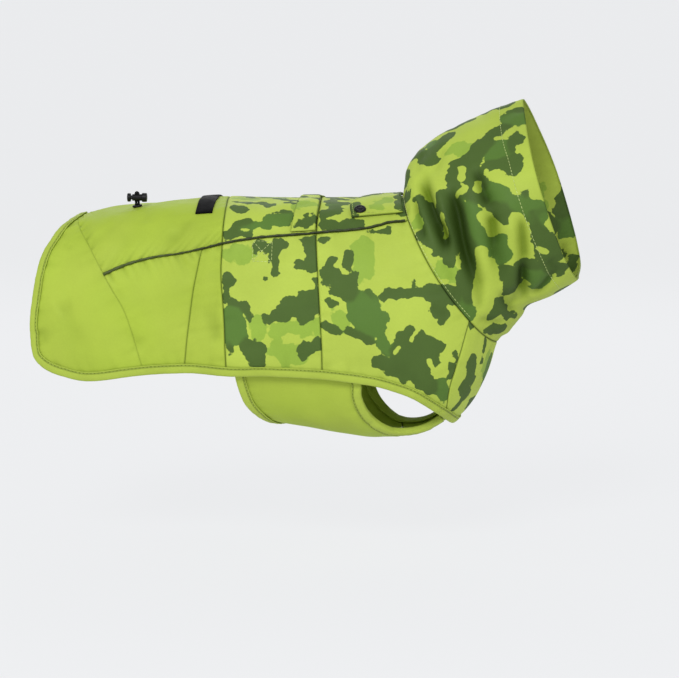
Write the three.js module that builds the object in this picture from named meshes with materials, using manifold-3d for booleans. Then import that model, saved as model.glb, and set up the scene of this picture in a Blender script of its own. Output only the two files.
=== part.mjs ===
// Dog raincoat with a standing hood, in its worn form: a hollow tube of sewn cloth panels.
// Millimetres. +X points to the wearer's head, +Y to the wearer's left and +Z up.
// The origin is on the inner face of the back, where the coat rests on its wearer.
//
// Every place on the coat is a pair: ring, a number along the coat from the tail to the hood's rim,
// and round, degrees about it from the crest of the back, negative on the right and positive on the left.
import * as THREE from 'three';
import { mergeVertices } from 'three/addons/utils/BufferGeometryUtils.js';
import Module from 'manifold-3d';

const wasm = await Module();
wasm.setup();

// ---- driving dimensions ----
const WALL = 1.6; // shell cloth with its backing
const FLAP_WALL = 2; // leash flap, two plies
const TAPE = 1; // one ply of binding tape, and the woven label
const GAP = 0.3; // between pieces at a seam
const LIFT = 0.6; // under a piece that lies on another, whose facets differ
const BINDING = { width: 8.5, slack: 1.2, fold: 1 }; // slack: gap to the inner ply, fold: edge to slot
const PANEL_TO_HEM = 1.6; // shell edge inside the folded binding
const PIPING = { width: 3, height: 1.2, crown: 0.6 }; // crown: share of the width on top
const VENT_TO_PIPING = 2.2;
const NECK_RING = 12;
const RIM_RING = 19;
const RIGHT = -1;
const LEFT = 1;

// Rings: the crest (top) and the underline (low) of each section in side elevation, its half width,
// how square it is, how far its sides bow forward, how far it is turned to the right (degrees),
// and how much its crest narrows to a ridge.
const RINGS = table('topX topZ lowX lowZ halfWidth square bow turn peak', [
  [-252, -38, -252, -209, 52, 0.07, 0, 0, 0], // behind the tail
  [-219, -21, -219, -207, 69, 0.07, 0, 0, 0],
  [-185, -10, -185, -202, 76, 0.075, 0, 0, 0], // haunches
  [-150, -4.5, -150, -195, 79, 0.08, 0, 0, 0],
  [-117, -1, -117, -189, 80, 0.085, 0, 0, 0],
  [-82, 0.8, -82, -185, 81, 0.09, 0, 0, 0], // waist
  [-45, 1.6, -45, -189, 82, 0.09, 0, 0, 0],
  [3, 1.6, 3, -197, 82, 0.09, 0, 0, 0], // ribs
  [29, 1.6, 51, -203, 82, 0.085, 0, 0, 0],
  [48, 2.1, 95, -197, 81, 0.08, -2, 0, 0], // shoulders
  [61, 3, 122, -180, 79, 0.07, -4, 0, 0],
  [69, 3.4, 140, -153, 77, 0.06, -7, 0, 0],
  [73, 4.3, 152, -119, 74, 0.05, -9, 0, 0], // neck seam
  [75, 15, 162, -110, 73, 0.05, -9, 0.5, 0.05],
  [76, 26, 172, -98, 73, 0.05, -8, 1.5, 0.12],
  [82, 37, 178, -89, 74, 0.05, -6, 2.5, 0.22],
  [98, 51, 189, -84, 75, 0.05, -4, 4, 0.35],
  [122, 64, 200, -79, 76, 0.05, -2, 5, 0.5],
  [146, 75, 211, -72, 76, 0.05, -1, 6, 0.62],
  [173, 84, 221, -65, 75, 0.05, 0, 6, 0.7], // rim of the hood
]);

// The hood's largest folds, each a trough through three places, with its width and depth.
const FOLDS = table('upRing upRound midRing midRound lowRing lowRound width depth', [
  [15.1, 34, 14.6, 67, 13.6, 96, 8.5, 4],
  [16, 58, 15.1, 92, 13.4, 126, 9.5, 6.5],
  [17.1, 60, 16.5, 100, 14.9, 134, 8.5, 3.6],
  [17.9, 92, 17.1, 118, 14.7, 156, 8, 3],
]);
const LEFT_FOLDS = { ringShift: 0.25, depthShare: 0.85 };

// Seams and edges: places on the right half, in order. A named place is where another seam meets it.
const HEM = seam([
  ['rear', 1.38, 0],
  ['gusset', 1.27, 16],
  ['', 1.03, 32],
  ['', 0.78, 44.5],
  ['', 0.6, 61.5],
  ['', 0.49, 80],
  ['', 0.56, 96],
  ['corner', 0.86, 104.5],
  ['', 1.4, 111],
  ['', 2.1, 115.8],
  ['gusset foot', 3.4, 117.2],
  ['slant', 4.38, 118.7],
  ['camo', 5.38, 120.8],
  ['', 6.3, 118.2],
  ['yoke', 7.18, 116.2],
  ['', 7.9, 116.2],
  ['', 8.45, 119.2],
  ['', 9, 126.5],
  ['', 9.4, 138.5],
  ['chest', 9.6, 153],
  ['front', 9.64, 180],
]);
const GUSSET_TOP = seam([['hem', 1.27, 16], ['turn', 1.52, 17.5]]);
const GUSSET = seam([
  ['turn', 1.52, 17.5],
  ['', 1.68, 33],
  ['', 1.97, 47],
  ['piping', 2.4, 64.5],
  ['', 2.6, 72],
  ['', 2.93, 84.5],
  ['', 3.19, 102],
  ['foot', 3.4, 117.2],
]);
const PIPED = seam([
  ['gusset', 2.4, 64.5],
  ['', 2.93, 61.4],
  ['', 3.61, 59.5],
  ['', 4.27, 58.8],
  ['slant', 4.81, 57.3],
  ['camo', 5.28, 55.1],
  ['', 5.93, 52.2],
  ['', 6.58, 49.6],
  ['yoke', 7.05, 48],
  ['', 7.7, 46.7],
  ['', 8.62, 45.3],
  ['', 9.28, 43.8],
  ['', 10.05, 43],
  ['neck', NECK_RING, 45.5],
]);
const SLANT = seam([['top', 4.81, 57.3], ['', 4.63, 76.3], ['', 4.5, 96.7], ['foot', 4.38, 118.7]]);
const CAMO = seam([
  ['crest', 5.18, 0],
  ['', 5.26, 30],
  ['piping', 5.28, 55.1],
  ['', 5.27, 70],
  ['', 5.34, 92],
  ['foot', 5.38, 120.8],
]);
const YOKE = seam([
  ['crest', 7.02, 0],
  ['', 7.06, 26],
  ['piping', 7.05, 48],
  ['', 7.11, 68],
  ['', 7.17, 96],
  ['foot', 7.18, 116.2],
]);
const VENT = seam([['crest', 6.64, 0], ['', 6.63, 26], ['piping', 6.58, 49.5]]);
const CHEST = seam([
  ['neck', NECK_RING, 125],
  ['', 11.22, 126.3],
  ['', 10.7, 128.4],
  ['', 10.2, 133],
  ['', 9.85, 142],
  ['foot', 9.6, 153],
]);
const STRAP = seam([
  ['band', 8.38, 150],
  ['', 8.6, 154],
  ['', 8.9, 157],
  ['', 9.3, 158.5],
  ['hem', 9.53, 159.2],
  ['end', 9.95, 160],
]);

// Belly band: its rear and front edges at each place round the body. Binding covers them from the wing on.
const BAND = table('round rear front', [
  [52.5, 5.97, 6.31],
  [66, 5.97, 6.33],
  [75, 5.9, 6.55],
  [84, 5.78, 6.95],
  [94, 5.66, 7.4],
  [104, 5.57, 7.72],
  [116, 5.52, 7.92],
  [124, 5.55, 7.9],
  [132, 5.62, 7.97],
  [140, 5.72, 8.12],
  [150, 5.92, 8.38],
  [160, 6.08, 8.42],
  [170, 6.17, 8.43],
  [180, 6.2, 8.43],
]);
// The belly band's edges are bound from here round the belly. Its wings above are plain.
const WING_ROUND = 104;
// How far the belly band lies inside the coat's outer face: seated at its tabs, clear of the hem.
const TUCK = table('round depth', [[52, 2.3], [72, 2.3], [96, 6.2], [124, 6.2], [165, 1.5], [180, 1.3]]);
const CHEST_TUCK = { from: 8.6, to: 9.5, depth: 2.8 };

const LABEL = { rear: 4.57, front: 4.97, half: 35.5 };
const FLAP = {
  lift: 0.9, // its inner face above the yoke's outer face
  low: seam([['free', 8.1, 39], ['', 9.2, 37.6], ['neck', 11.55, 38]]),
  high: seam([['free', 8.5, 8], ['', 9.4, -2], ['neck', 11.55, -5]]),
  end: seam([['low', 8.1, 39], ['corner', 8.06, 25], ['high', 8.5, 8]]),
  neck: seam([['low', 11.55, 38], ['high', 11.55, -5]]),
};
const SNAP = { ring: 8.44, round: -33, radius: 5, height: 2 };

const CORD = { ring: 2.99, round: -17, diameter: 1.4, spacing: 2.4 };
const GROMMET = { length: 8.4, width: 6, holeLength: 4.8, holeWidth: 2.2, height: 1.2 };
const LOCK = {
  height: 8.2, // barrel's axis above the cloth
  barrel: 2.8, // radii
  bore: 2,
  flange: 3.8,
  button: 3.6,
  stem: 1.7,
  left: -4, // places along the barrel's axis
  boreEnd: 6.5,
  flangeStart: 4.2,
  right: 8.1,
  buttonOuter: -8.1,
  buttonInner: -5.5,
  stemEnd: 3.6,
  holeHalf: 2.4, // cord hole through the barrel
  holeWidth: 2,
  slotLeft: -3.5, // cord slot through the stem, long enough for the button's travel
  slotRight: 2.2,
  slotWidth: 2,
  bevel: 0.4,
  loop: 5.4, // top of the cord's loop above the barrel's axis
};

const FINISH = {
  lime: { color: 0xaec34d, roughness: 0.62, metalness: 0 },
  camo: { color: 0x86ac48, roughness: 0.62, metalness: 0 },
  binding: { color: 0xb1c852, roughness: 0.66, metalness: 0 },
  piping: { color: 0x3a4038, roughness: 0.35, metalness: 0 },
  label: { color: 0x101012, roughness: 0.8, metalness: 0 },
  plastic: { color: 0x141417, roughness: 0.35, metalness: 0 },
  cord: { color: 0x161618, roughness: 0.8, metalness: 0 },
};

// ---- tables and seams ----
function table(columns, rows) {
  const names = columns.split(' ');
  return rows.map((row) => Object.fromEntries(names.map((name, column) => [name, row[column]])));
}

function seam(rows) {
  return table('name ring round', rows);
}

function catmullRom(before, from, to, after, part) {
  const slope = to - before;
  const bend = 2 * before - 5 * from + 4 * to - after;
  const turn = 3 * (from - to) + after - before;
  return 0.5 * (2 * from + slope * part + bend * part ** 2 + turn * part ** 3);
}

function smoothStep(value, from, to) {
  const part = THREE.MathUtils.clamp((value - from) / (to - from), 0, 1);
  return part * part * (3 - 2 * part);
}

// A table's columns at a place between its rows, on a smooth curve through them.
function between(rows, place, columns) {
  const last = rows.length - 1;
  const index = THREE.MathUtils.clamp(Math.floor(place), 0, last - 1);
  const near = [-1, 0, 1, 2].map((step) => {
    if (index + step < 0) return rowBeyond(rows[0], rows[1]);
    if (index + step > last) return rowBeyond(rows[last], rows[last - 1]);
    return rows[index + step];
  });
  return Object.fromEntries(columns.map((column) => {
    const values = near.map((row) => row[column]);
    return [column, catmullRom(...values, place - index)];
  }));
}

// The row past the end of a table: its mirror over the crest or the underline, or straight on.
function rowBeyond(end, next) {
  if (end.round === 0 || end.round === 180) return { ...next, round: 2 * end.round - next.round };
  const columns = Object.keys(end).filter((column) => column !== 'name');
  return Object.fromEntries(columns.map((column) => [column, 2 * end[column] - next[column]]));
}

// The place between a table's rows where a rising column has a value.
function placeOf(rows, column, value) {
  const index = rows.findIndex((row, i) => i === rows.length - 2 || value <= rows[i + 1][column]);
  return index + (value - rows[index][column]) / (rows[index + 1][column] - rows[index][column]);
}

function tuck(ring, round) {
  const folded = Math.abs(round) > 180 ? 360 - Math.abs(round) : Math.abs(round);
  const place = placeOf(TUCK, 'round', folded);
  const row = Math.min(Math.floor(place), TUCK.length - 2);
  const side = THREE.MathUtils.lerp(TUCK[row].depth, TUCK[row + 1].depth, smoothStep(place - row, 0, 1));
  return side + CHEST_TUCK.depth * smoothStep(ring, CHEST_TUCK.from, CHEST_TUCK.to);
}

// ---- the coat's outer face ----
const RING_COLUMNS = Object.keys(RINGS[0]);

function bareSkin(ring, round) {
  const r = between(RINGS, ring, RING_COLUMNS);
  const angle = THREE.MathUtils.degToRad(round);
  const swell = 1 + r.square * Math.sin(2 * angle) ** 2;
  const halfX = (r.topX - r.lowX) / 2;
  const halfZ = (r.topZ - r.lowZ) / 2;
  const half = Math.hypot(halfX, halfZ);
  const narrowing = 1 - r.peak * Math.max(Math.cos(angle), 0) ** 2;
  const up = Math.cos(angle) * swell;
  const y = r.halfWidth * Math.sin(angle) * swell * narrowing;
  const forward = r.bow * Math.sin(angle) ** 2 + y * Math.tan(THREE.MathUtils.degToRad(r.turn));
  return new THREE.Vector3(
    (r.topX + r.lowX) / 2 + halfX * up + (halfZ / half) * forward,
    y,
    (r.topZ + r.lowZ) / 2 + halfZ * up - (halfX / half) * forward,
  );
}

function tangents(ring, round) {
  const step = 0.01;
  const along = bareSkin(ring + step, round).sub(bareSkin(ring - step, round)).divideScalar(2 * step);
  const about = bareSkin(ring, round + step).sub(bareSkin(ring, round - step)).divideScalar(2 * step);
  const normal = along.clone().cross(about).normalize();
  return { along, about, normal };
}

// Depth of the hood's folds at a place, where one ring is pitch millimetres long.
function foldDepth(ring, round, pitch) {
  const about = Math.abs(round);
  const left = round > 0;
  return FOLDS.reduce((depth, fold) => {
    const part = (about - fold.upRound) / (fold.lowRound - fold.upRound);
    if (part <= 0 || part >= 1) return depth;
    const middle = (fold.midRound - fold.upRound) / (fold.lowRound - fold.upRound);
    const curve = THREE.MathUtils.lerp(fold.upRing, fold.lowRing, part);
    const bulge = fold.midRing - THREE.MathUtils.lerp(fold.upRing, fold.lowRing, middle);
    const centre = curve + (bulge * part * (1 - part)) / (middle * (1 - middle));
    const away = ((ring - centre - (left ? LEFT_FOLDS.ringShift : 0)) * pitch) / fold.width;
    const ends = smoothStep(part, 0, 0.3) * smoothStep(part, 1, 0.7);
    return depth + fold.depth * (left ? LEFT_FOLDS.depthShare : 1) * ends * Math.exp(-away * away);
  }, 0);
}

function skin(ring, round, out = 0) {
  const { along, normal } = tangents(ring, round);
  return bareSkin(ring, round).addScaledVector(normal, out - foldDepth(ring, round, along.length()));
}

// ---- places along seams ----
function nodes(line, from, to, count) {
  const start = line.findIndex((row) => row.name === from);
  const end = line.findIndex((row) => row.name === to);
  return Array.from({ length: count + 1 }, (_, i) => {
    const place = start + ((end - start) * i) / count;
    const { ring, round } = between(line, place, ['ring', 'round']);
    return [ring, round];
  });
}

function ringNodes(ring, fromRound, toRound, count) {
  return Array.from({ length: count + 1 }, (_, i) => [ring, fromRound + ((toRound - fromRound) * i) / count]);
}

function joined(...parts) {
  return parts.flatMap((part, i) => (i === 0 ? part : part.slice(1)));
}

function sided(places, side) {
  return places.map(([ring, round]) => [ring, side * round]);
}

// From a right place over the crest to its left twin. The half runs out from the crest.
function over(half) {
  return joined(sided(half, RIGHT).reverse(), sided(half, LEFT));
}

// From a right place under the belly to its left twin. The half runs in to the underline.
function beneath(half) {
  const left = half.map(([ring, round]) => [ring, round - 360]);
  return joined(sided(half, RIGHT), left.reverse());
}

// ---- solids ----
// A closed mesh from its points and four-cornered faces, turned so that the faces point out.
function solid(points, quads) {
  const geometry = new THREE.BufferGeometry();
  geometry.setAttribute('position', new THREE.Float32BufferAttribute(points.flatMap((p) => p.toArray()), 3));
  const triangles = quads.flatMap(([a, b, c, d]) => [[a, b, c], [a, c, d]]);
  const volume = triangles.reduce(
    (sum, [a, b, c]) => sum + points[a].dot(points[b].clone().cross(points[c])), 0,
  );
  geometry.setIndex(triangles.flatMap(([a, b, c]) => (volume > 0 ? [a, b, c] : [a, c, b])));
  return geometry;
}

// Cloth of one wall over a net of places: its outer face is `out` from the skin.
function cloth(net, { out = 0, wall = WALL, under = () => 0 } = {}) {
  const rows = net.length;
  const columns = net[0].length;
  const face = (offset) => net.flat().map(([ring, round]) => skin(ring, round, offset - under(ring, round)));
  const points = [...face(out), ...face(out - wall)];
  const at = (i, j, inner) => (inner ? rows * columns : 0) + i * columns + j;
  const quads = [];
  for (let i = 0; i < rows - 1; i += 1) {
    for (let j = 0; j < columns - 1; j += 1) {
      quads.push([at(i, j), at(i + 1, j), at(i + 1, j + 1), at(i, j + 1)]);
      quads.push([at(i, j, true), at(i, j + 1, true), at(i + 1, j + 1, true), at(i + 1, j, true)]);
    }
  }
  const rim = [
    ...Array.from({ length: columns - 1 }, (_, j) => [[0, j], [0, j + 1]]),
    ...Array.from({ length: rows - 1 }, (_, i) => [[i, columns - 1], [i + 1, columns - 1]]),
    ...Array.from(
      { length: columns - 1 },
      (_, j) => [[rows - 1, columns - 1 - j], [rows - 1, columns - 2 - j]],
    ),
    ...Array.from({ length: rows - 1 }, (_, i) => [[rows - 1 - i, 0], [rows - 2 - i, 0]]),
  ];
  rim.forEach(([from, to]) => quads.push([at(...from), at(...to), at(...to, true), at(...from, true)]));
  return solid(points, quads);
}

// A net inside four sides: right and left run from the rear to the front, rear and front from right to left.
function netInside({ right, left, rear, front }) {
  const rows = right.length - 1;
  const columns = rear.length - 1;
  return right.map((_, i) => rear.map((__, j) => {
    const u = i / rows;
    const v = j / columns;
    return [0, 1].map((k) => {
      const ruled = (1 - v) * right[i][k] + v * left[i][k] + (1 - u) * rear[j][k] + u * front[j][k];
      const corners = (1 - u) * ((1 - v) * right[0][k] + v * left[0][k])
        + u * ((1 - v) * right[rows][k] + v * left[rows][k]);
      return ruled - corners;
    });
  }));
}

// From a place, a distance towards the next one.
function toward(place, next, distance) {
  const part = distance / skin(...place).distanceTo(skin(...next));
  return [0, 1].map((k) => THREE.MathUtils.lerp(place[k], next[k], part));
}

// At a corner sharper than this the inset grows no further.
const LEAST_SINE = 0.4;

// Draws a net's edges in, in millimetres square to each edge, so that pieces stay apart at their seams.
// A side's inset may depend on the place.
function drawnIn(net, { right = GAP / 2, left = GAP / 2, rear = GAP / 2, front = GAP / 2 } = {}) {
  const pull = (edge, next, inset) => edge.map((place, i) => {
    const distance = typeof inset === 'function' ? inset(place) : inset;
    const spot = skin(...place);
    const before = edge[Math.max(i - 1, 0)];
    const after = edge[Math.min(i + 1, edge.length - 1)];
    const angle = skin(...after).sub(skin(...before)).angleTo(skin(...next[i]).sub(spot));
    return toward(place, next[i], distance / Math.max(Math.sin(angle), LEAST_SINE));
  });
  const flip = (rows) => rows[0].map((_, j) => rows.map((row) => row[j]));
  const ends = (rows, first, last) => [
    pull(rows[0], rows[1], first),
    ...rows.slice(1, -1),
    pull(rows[rows.length - 1], rows[rows.length - 2], last),
  ];
  return flip(ends(flip(ends(net, rear, front)), right, left));
}

function panel(sides, insets, options) {
  return cloth(drawnIn(netInside(sides), insets), options);
}

// From a place, a distance over the skin in a direction.
function walk([ring, round], direction, distance) {
  const { along, about } = tangents(ring, round);
  const [aa, ab, bb] = [along.dot(along), along.dot(about), about.dot(about)];
  const [ad, bd] = [along.dot(direction), about.dot(direction)];
  const scale = distance / (aa * bb - ab * ab);
  return [ring + (bb * ad - ab * bd) * scale, round + (aa * bd - ab * ad) * scale];
}

// Sweeps a section along an edge: each of its points is [distance in from the edge, height over the skin].
// Inside is the side that the cloth lies on: 1 where it is to the left of the edge, seen from outside.
function trim(edge, section, inside, under = () => 0) {
  const points = edge.flatMap((place, i) => {
    const before = bareSkin(...edge[Math.max(i - 1, 0)]);
    const after = bareSkin(...edge[Math.min(i + 1, edge.length - 1)]);
    const { normal } = tangents(...place);
    const inward = normal.clone().cross(after.sub(before)).normalize().multiplyScalar(inside);
    return section.map(([distance, height]) => {
      const spot = walk(place, inward, distance);
      return skin(...spot, height - under(...spot));
    });
  });
  const size = section.length;
  const quads = [];
  for (let i = 0; i < edge.length - 1; i += 1) {
    for (let k = 0; k < size; k += 1) {
      const next = (k + 1) % size;
      quads.push([i * size + k, i * size + next, (i + 1) * size + next, (i + 1) * size + k]);
    }
  }
  return { points, quads, size, count: edge.length };
}

// Tape folded over an edge: an outer ply, the fold and an inner ply, around a slot for the cloth.
const FOLDED_TAPE = [
  [BINDING.width, LIFT + TAPE],
  [0, LIFT + TAPE],
  [0, -WALL - BINDING.slack - TAPE],
  [BINDING.width, -WALL - BINDING.slack - TAPE],
  [BINDING.width, -WALL - BINDING.slack],
  [BINDING.fold, -WALL - BINDING.slack],
  [BINDING.fold, LIFT],
  [BINDING.width, LIFT],
];
const FOLDED_TAPE_END = [[0, 1, 6, 7], [1, 2, 5, 6], [2, 3, 4, 5]];

function binding(edge, inside, under) {
  const { points, quads, size, count } = trim(edge, FOLDED_TAPE, inside, under);
  const last = (count - 1) * size;
  FOLDED_TAPE_END.forEach(([a, b, c, d]) => {
    quads.push([d, c, b, a]);
    quads.push([last + a, last + b, last + c, last + d]);
  });
  return solid(points, quads);
}

// Raised tape along a seam, flat below and rounded above.
function bead(edge) {
  const half = PIPING.width / 2;
  const top = LIFT + PIPING.height;
  const section = [[-half, LIFT], [half, LIFT], [half * PIPING.crown, top], [-half * PIPING.crown, top]];
  const { points, quads, size, count } = trim(edge, section, 1);
  const last = (count - 1) * size;
  quads.push([3, 2, 1, 0], [last, last + 1, last + 2, last + 3]);
  return solid(points, quads);
}

// Shortens a line of places by a distance at each end.
function shortened(line, atStart, atEnd) {
  const last = line.length - 1;
  return [toward(line[0], line[1], atStart), ...line.slice(1, -1), toward(line[last], line[last - 1], atEnd)];
}

// ---- joining and cutting ----
function toManifold(geometry) {
  const bare = geometry.clone();
  bare.deleteAttribute('normal');
  bare.deleteAttribute('uv');
  const merged = mergeVertices(bare);
  return new wasm.Manifold(new wasm.Mesh({
    numProp: 3,
    vertProperties: new Float32Array(merged.attributes.position.array),
    triVerts: new Uint32Array(merged.index.array),
  }));
}

function fromManifold(body) {
  const mesh = body.getMesh();
  const geometry = new THREE.BufferGeometry();
  geometry.setAttribute('position', new THREE.BufferAttribute(new Float32Array(mesh.vertProperties), 3));
  geometry.setIndex(new THREE.BufferAttribute(new Uint32Array(mesh.triVerts), 1));
  return geometry;
}

// A turned shape about the X axis, from [radius, place along X] pairs.
function turned(profile, segments = 24) {
  const outline = profile.map(([radius, place]) => new THREE.Vector2(radius, place));
  return new THREE.LatheGeometry(outline, segments).rotateZ(-Math.PI / 2);
}

// An outline with round ends: length along X, width along Y.
function oval(Outline, length, width) {
  const outline = new Outline();
  const straight = (length - width) / 2;
  outline.absarc(straight, 0, width / 2, -Math.PI / 2, Math.PI / 2);
  outline.absarc(-straight, 0, width / 2, Math.PI / 2, (3 * Math.PI) / 2);
  outline.closePath();
  return outline;
}

// An upright prism with round ends, to cut a hole for the cord.
function slot(left, right, width, height) {
  const outline = oval(THREE.Shape, right - left, width);
  const prism = new THREE.ExtrudeGeometry(outline, { depth: height, bevelEnabled: false, curveSegments: 8 });
  return prism.translate((left + right) / 2, 0, -height / 2);
}

// ---- the coat ----
const coat = new THREE.Group();

function add(name, geometry, finish, parent = coat) {
  const mesh = new THREE.Mesh(geometry, new THREE.MeshStandardMaterial(FINISH[finish]));
  mesh.name = name;
  parent.add(mesh);
  return mesh;
}

// Counts of net rows, shared by the panels on both sides of a curved seam.
const COUNT = {
  gussetTop: 1,
  gussetHigh: 5,
  gussetLow: 6,
  hemCorner: 4,
  toSlant: 5,
  toCamo: 2,
  toYoke: 5,
  toNeck: 10,
  back: 5,
  neckYoke: 5,
  neckShoulder: 8,
  neckChest: 5,
  chestSeam: 5,
  hood: 15,
  band: 4,
  strap: 4,
  flap: 8,
};
const YOKE_ROUND = PIPED[PIPED.length - 1].round;
const CHEST_ROUND = CHEST[0].round;

// Panels that cross the back or the chest, from right to left.
function addMiddlePanels() {
  const backTo = (line) => over(nodes(line, 'crest', 'piping', COUNT.back));
  const bothSides = (line) => ({ right: sided(line, RIGHT), left: sided(line, LEFT) });

  const rearSide = joined(
    nodes(GUSSET_TOP, 'hem', 'turn', COUNT.gussetTop),
    nodes(GUSSET, 'turn', 'piping', COUNT.gussetHigh),
    nodes(PIPED, 'gusset', 'slant', COUNT.toSlant),
    nodes(PIPED, 'slant', 'camo', COUNT.toCamo),
  );
  const rearHem = over(nodes(HEM, 'rear', 'gusset', COUNT.back));
  const backRear = { ...bothSides(rearSide), rear: rearHem, front: backTo(CAMO) };
  add('back_rear', panel(backRear, { rear: PANEL_TO_HEM }), 'lime');

  const camoSide = nodes(PIPED, 'camo', 'yoke', COUNT.toYoke);
  add('back_camo', panel({ ...bothSides(camoSide), rear: backTo(CAMO), front: backTo(YOKE) }), 'camo');

  const ventSide = [VENT, YOKE].map((line) => line.find((row) => row.name === 'piping'));
  const vent = bothSides(ventSide.map(({ ring, round }) => [ring, round]));
  add('vent_flap', panel(
    { ...vent, rear: backTo(VENT), front: backTo(YOKE) },
    { rear: 0, front: GAP, right: VENT_TO_PIPING, left: VENT_TO_PIPING },
    { out: LIFT + WALL },
  ), 'camo');

  const yokeSide = nodes(PIPED, 'yoke', 'neck', COUNT.toNeck);
  const yoke = {
    ...bothSides(yokeSide),
    rear: over(nodes(YOKE, 'crest', 'piping', COUNT.neckYoke)),
    front: over(ringNodes(NECK_RING, 0, YOKE_ROUND, COUNT.neckYoke)),
  };
  add('back_yoke', panel(yoke), 'camo');

  const chestSide = nodes(CHEST, 'foot', 'neck', COUNT.chestSeam);
  const chest = {
    right: sided(chestSide, RIGHT),
    left: chestSide.map(([ring, round]) => [ring, round - 360]),
    rear: beneath(nodes(HEM, 'chest', 'front', COUNT.neckChest)),
    front: beneath(ringNodes(NECK_RING, CHEST_ROUND, 180, COUNT.neckChest)),
  };
  add('chest', panel(chest, { rear: PANEL_TO_HEM }), 'camo');
}

// Panels of one side: each runs from its rear seam to its front one, and down from its top to its foot.
function addSidePanels(mark, hand) {
  const sidePanel = (name, finish, { top, foot, rear, front }, insets) => {
    const sides = {
      right: sided(top, hand),
      left: sided(foot, hand),
      rear: sided(rear, hand),
      front: sided(front, hand),
    };
    add(`${name}_${mark}`, panel(sides, { left: PANEL_TO_HEM, ...insets }), finish);
  };
  const side = COUNT.gussetLow;
  sidePanel('tail', 'lime', {
    top: nodes(GUSSET_TOP, 'hem', 'turn', COUNT.hemCorner),
    foot: nodes(HEM, 'corner', 'gusset foot', COUNT.hemCorner),
    rear: nodes(HEM, 'gusset', 'corner', COUNT.gussetHigh + COUNT.gussetLow),
    front: joined(
      nodes(GUSSET, 'turn', 'piping', COUNT.gussetHigh),
      nodes(GUSSET, 'piping', 'foot', COUNT.gussetLow),
    ),
  }, { rear: PANEL_TO_HEM });
  sidePanel('side_rear', 'lime', {
    top: nodes(PIPED, 'gusset', 'slant', COUNT.toSlant),
    foot: nodes(HEM, 'gusset foot', 'slant', COUNT.toSlant),
    rear: nodes(GUSSET, 'piping', 'foot', side),
    front: nodes(SLANT, 'top', 'foot', side),
  });
  sidePanel('side_mid', 'lime', {
    top: nodes(PIPED, 'slant', 'camo', COUNT.toCamo),
    foot: nodes(HEM, 'slant', 'camo', COUNT.toCamo),
    rear: nodes(SLANT, 'top', 'foot', side),
    front: nodes(CAMO, 'piping', 'foot', side),
  });
  sidePanel('side_camo', 'camo', {
    top: nodes(PIPED, 'camo', 'yoke', COUNT.toYoke),
    foot: nodes(HEM, 'camo', 'yoke', COUNT.toYoke),
    rear: nodes(CAMO, 'piping', 'foot', side),
    front: nodes(YOKE, 'piping', 'foot', side),
  });
  sidePanel('shoulder', 'camo', {
    top: nodes(PIPED, 'yoke', 'neck', COUNT.toNeck),
    foot: nodes(HEM, 'yoke', 'chest', COUNT.toNeck),
    rear: nodes(YOKE, 'piping', 'foot', COUNT.neckShoulder + COUNT.chestSeam),
    front: joined(
      ringNodes(NECK_RING, YOKE_ROUND, CHEST_ROUND, COUNT.neckShoulder),
      nodes(CHEST, 'neck', 'foot', COUNT.chestSeam),
    ),
  });
}

// One half of the hood, from the neck seam to the rim and from the crest seam to the throat.
function addHoodHalf(mark, hand) {
  const neck = joined(
    ringNodes(NECK_RING, 0, YOKE_ROUND, COUNT.neckYoke),
    ringNodes(NECK_RING, YOKE_ROUND, CHEST_ROUND, COUNT.neckShoulder),
    ringNodes(NECK_RING, CHEST_ROUND, 180, COUNT.neckChest),
  );
  const net = Array.from({ length: COUNT.hood + 1 }, (_, i) => {
    const ring = THREE.MathUtils.lerp(NECK_RING, RIM_RING, i / COUNT.hood);
    return neck.map(([, round]) => [ring, hand * round]);
  });
  add(`hood_${mark}`, cloth(drawnIn(net, { front: 0 })), 'camo');
}

function addHemAndPiping(mark, hand) {
  const hem = joined(
    nodes(HEM, 'rear', 'gusset', COUNT.back),
    nodes(HEM, 'gusset', 'corner', COUNT.gussetHigh + COUNT.gussetLow),
    nodes(HEM, 'corner', 'gusset foot', COUNT.hemCorner),
    nodes(HEM, 'gusset foot', 'slant', COUNT.toSlant),
    nodes(HEM, 'slant', 'camo', COUNT.toCamo),
    nodes(HEM, 'camo', 'yoke', COUNT.toYoke),
    nodes(HEM, 'yoke', 'chest', COUNT.toNeck),
    nodes(HEM, 'chest', 'front', COUNT.neckChest),
  );
  add(`hem_binding_${mark}`, binding(shortened(sided(hem, hand), GAP / 2, GAP / 2), -hand), 'binding');
  const piped = joined(
    nodes(PIPED, 'gusset', 'slant', COUNT.toSlant),
    nodes(PIPED, 'slant', 'camo', COUNT.toCamo),
    nodes(PIPED, 'camo', 'yoke', COUNT.toYoke),
    nodes(PIPED, 'yoke', 'neck', COUNT.toNeck),
  );
  add(`piping_${mark}`, bead(shortened(sided(piped, hand), 0, PIPING.width)), 'piping');
}

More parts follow.
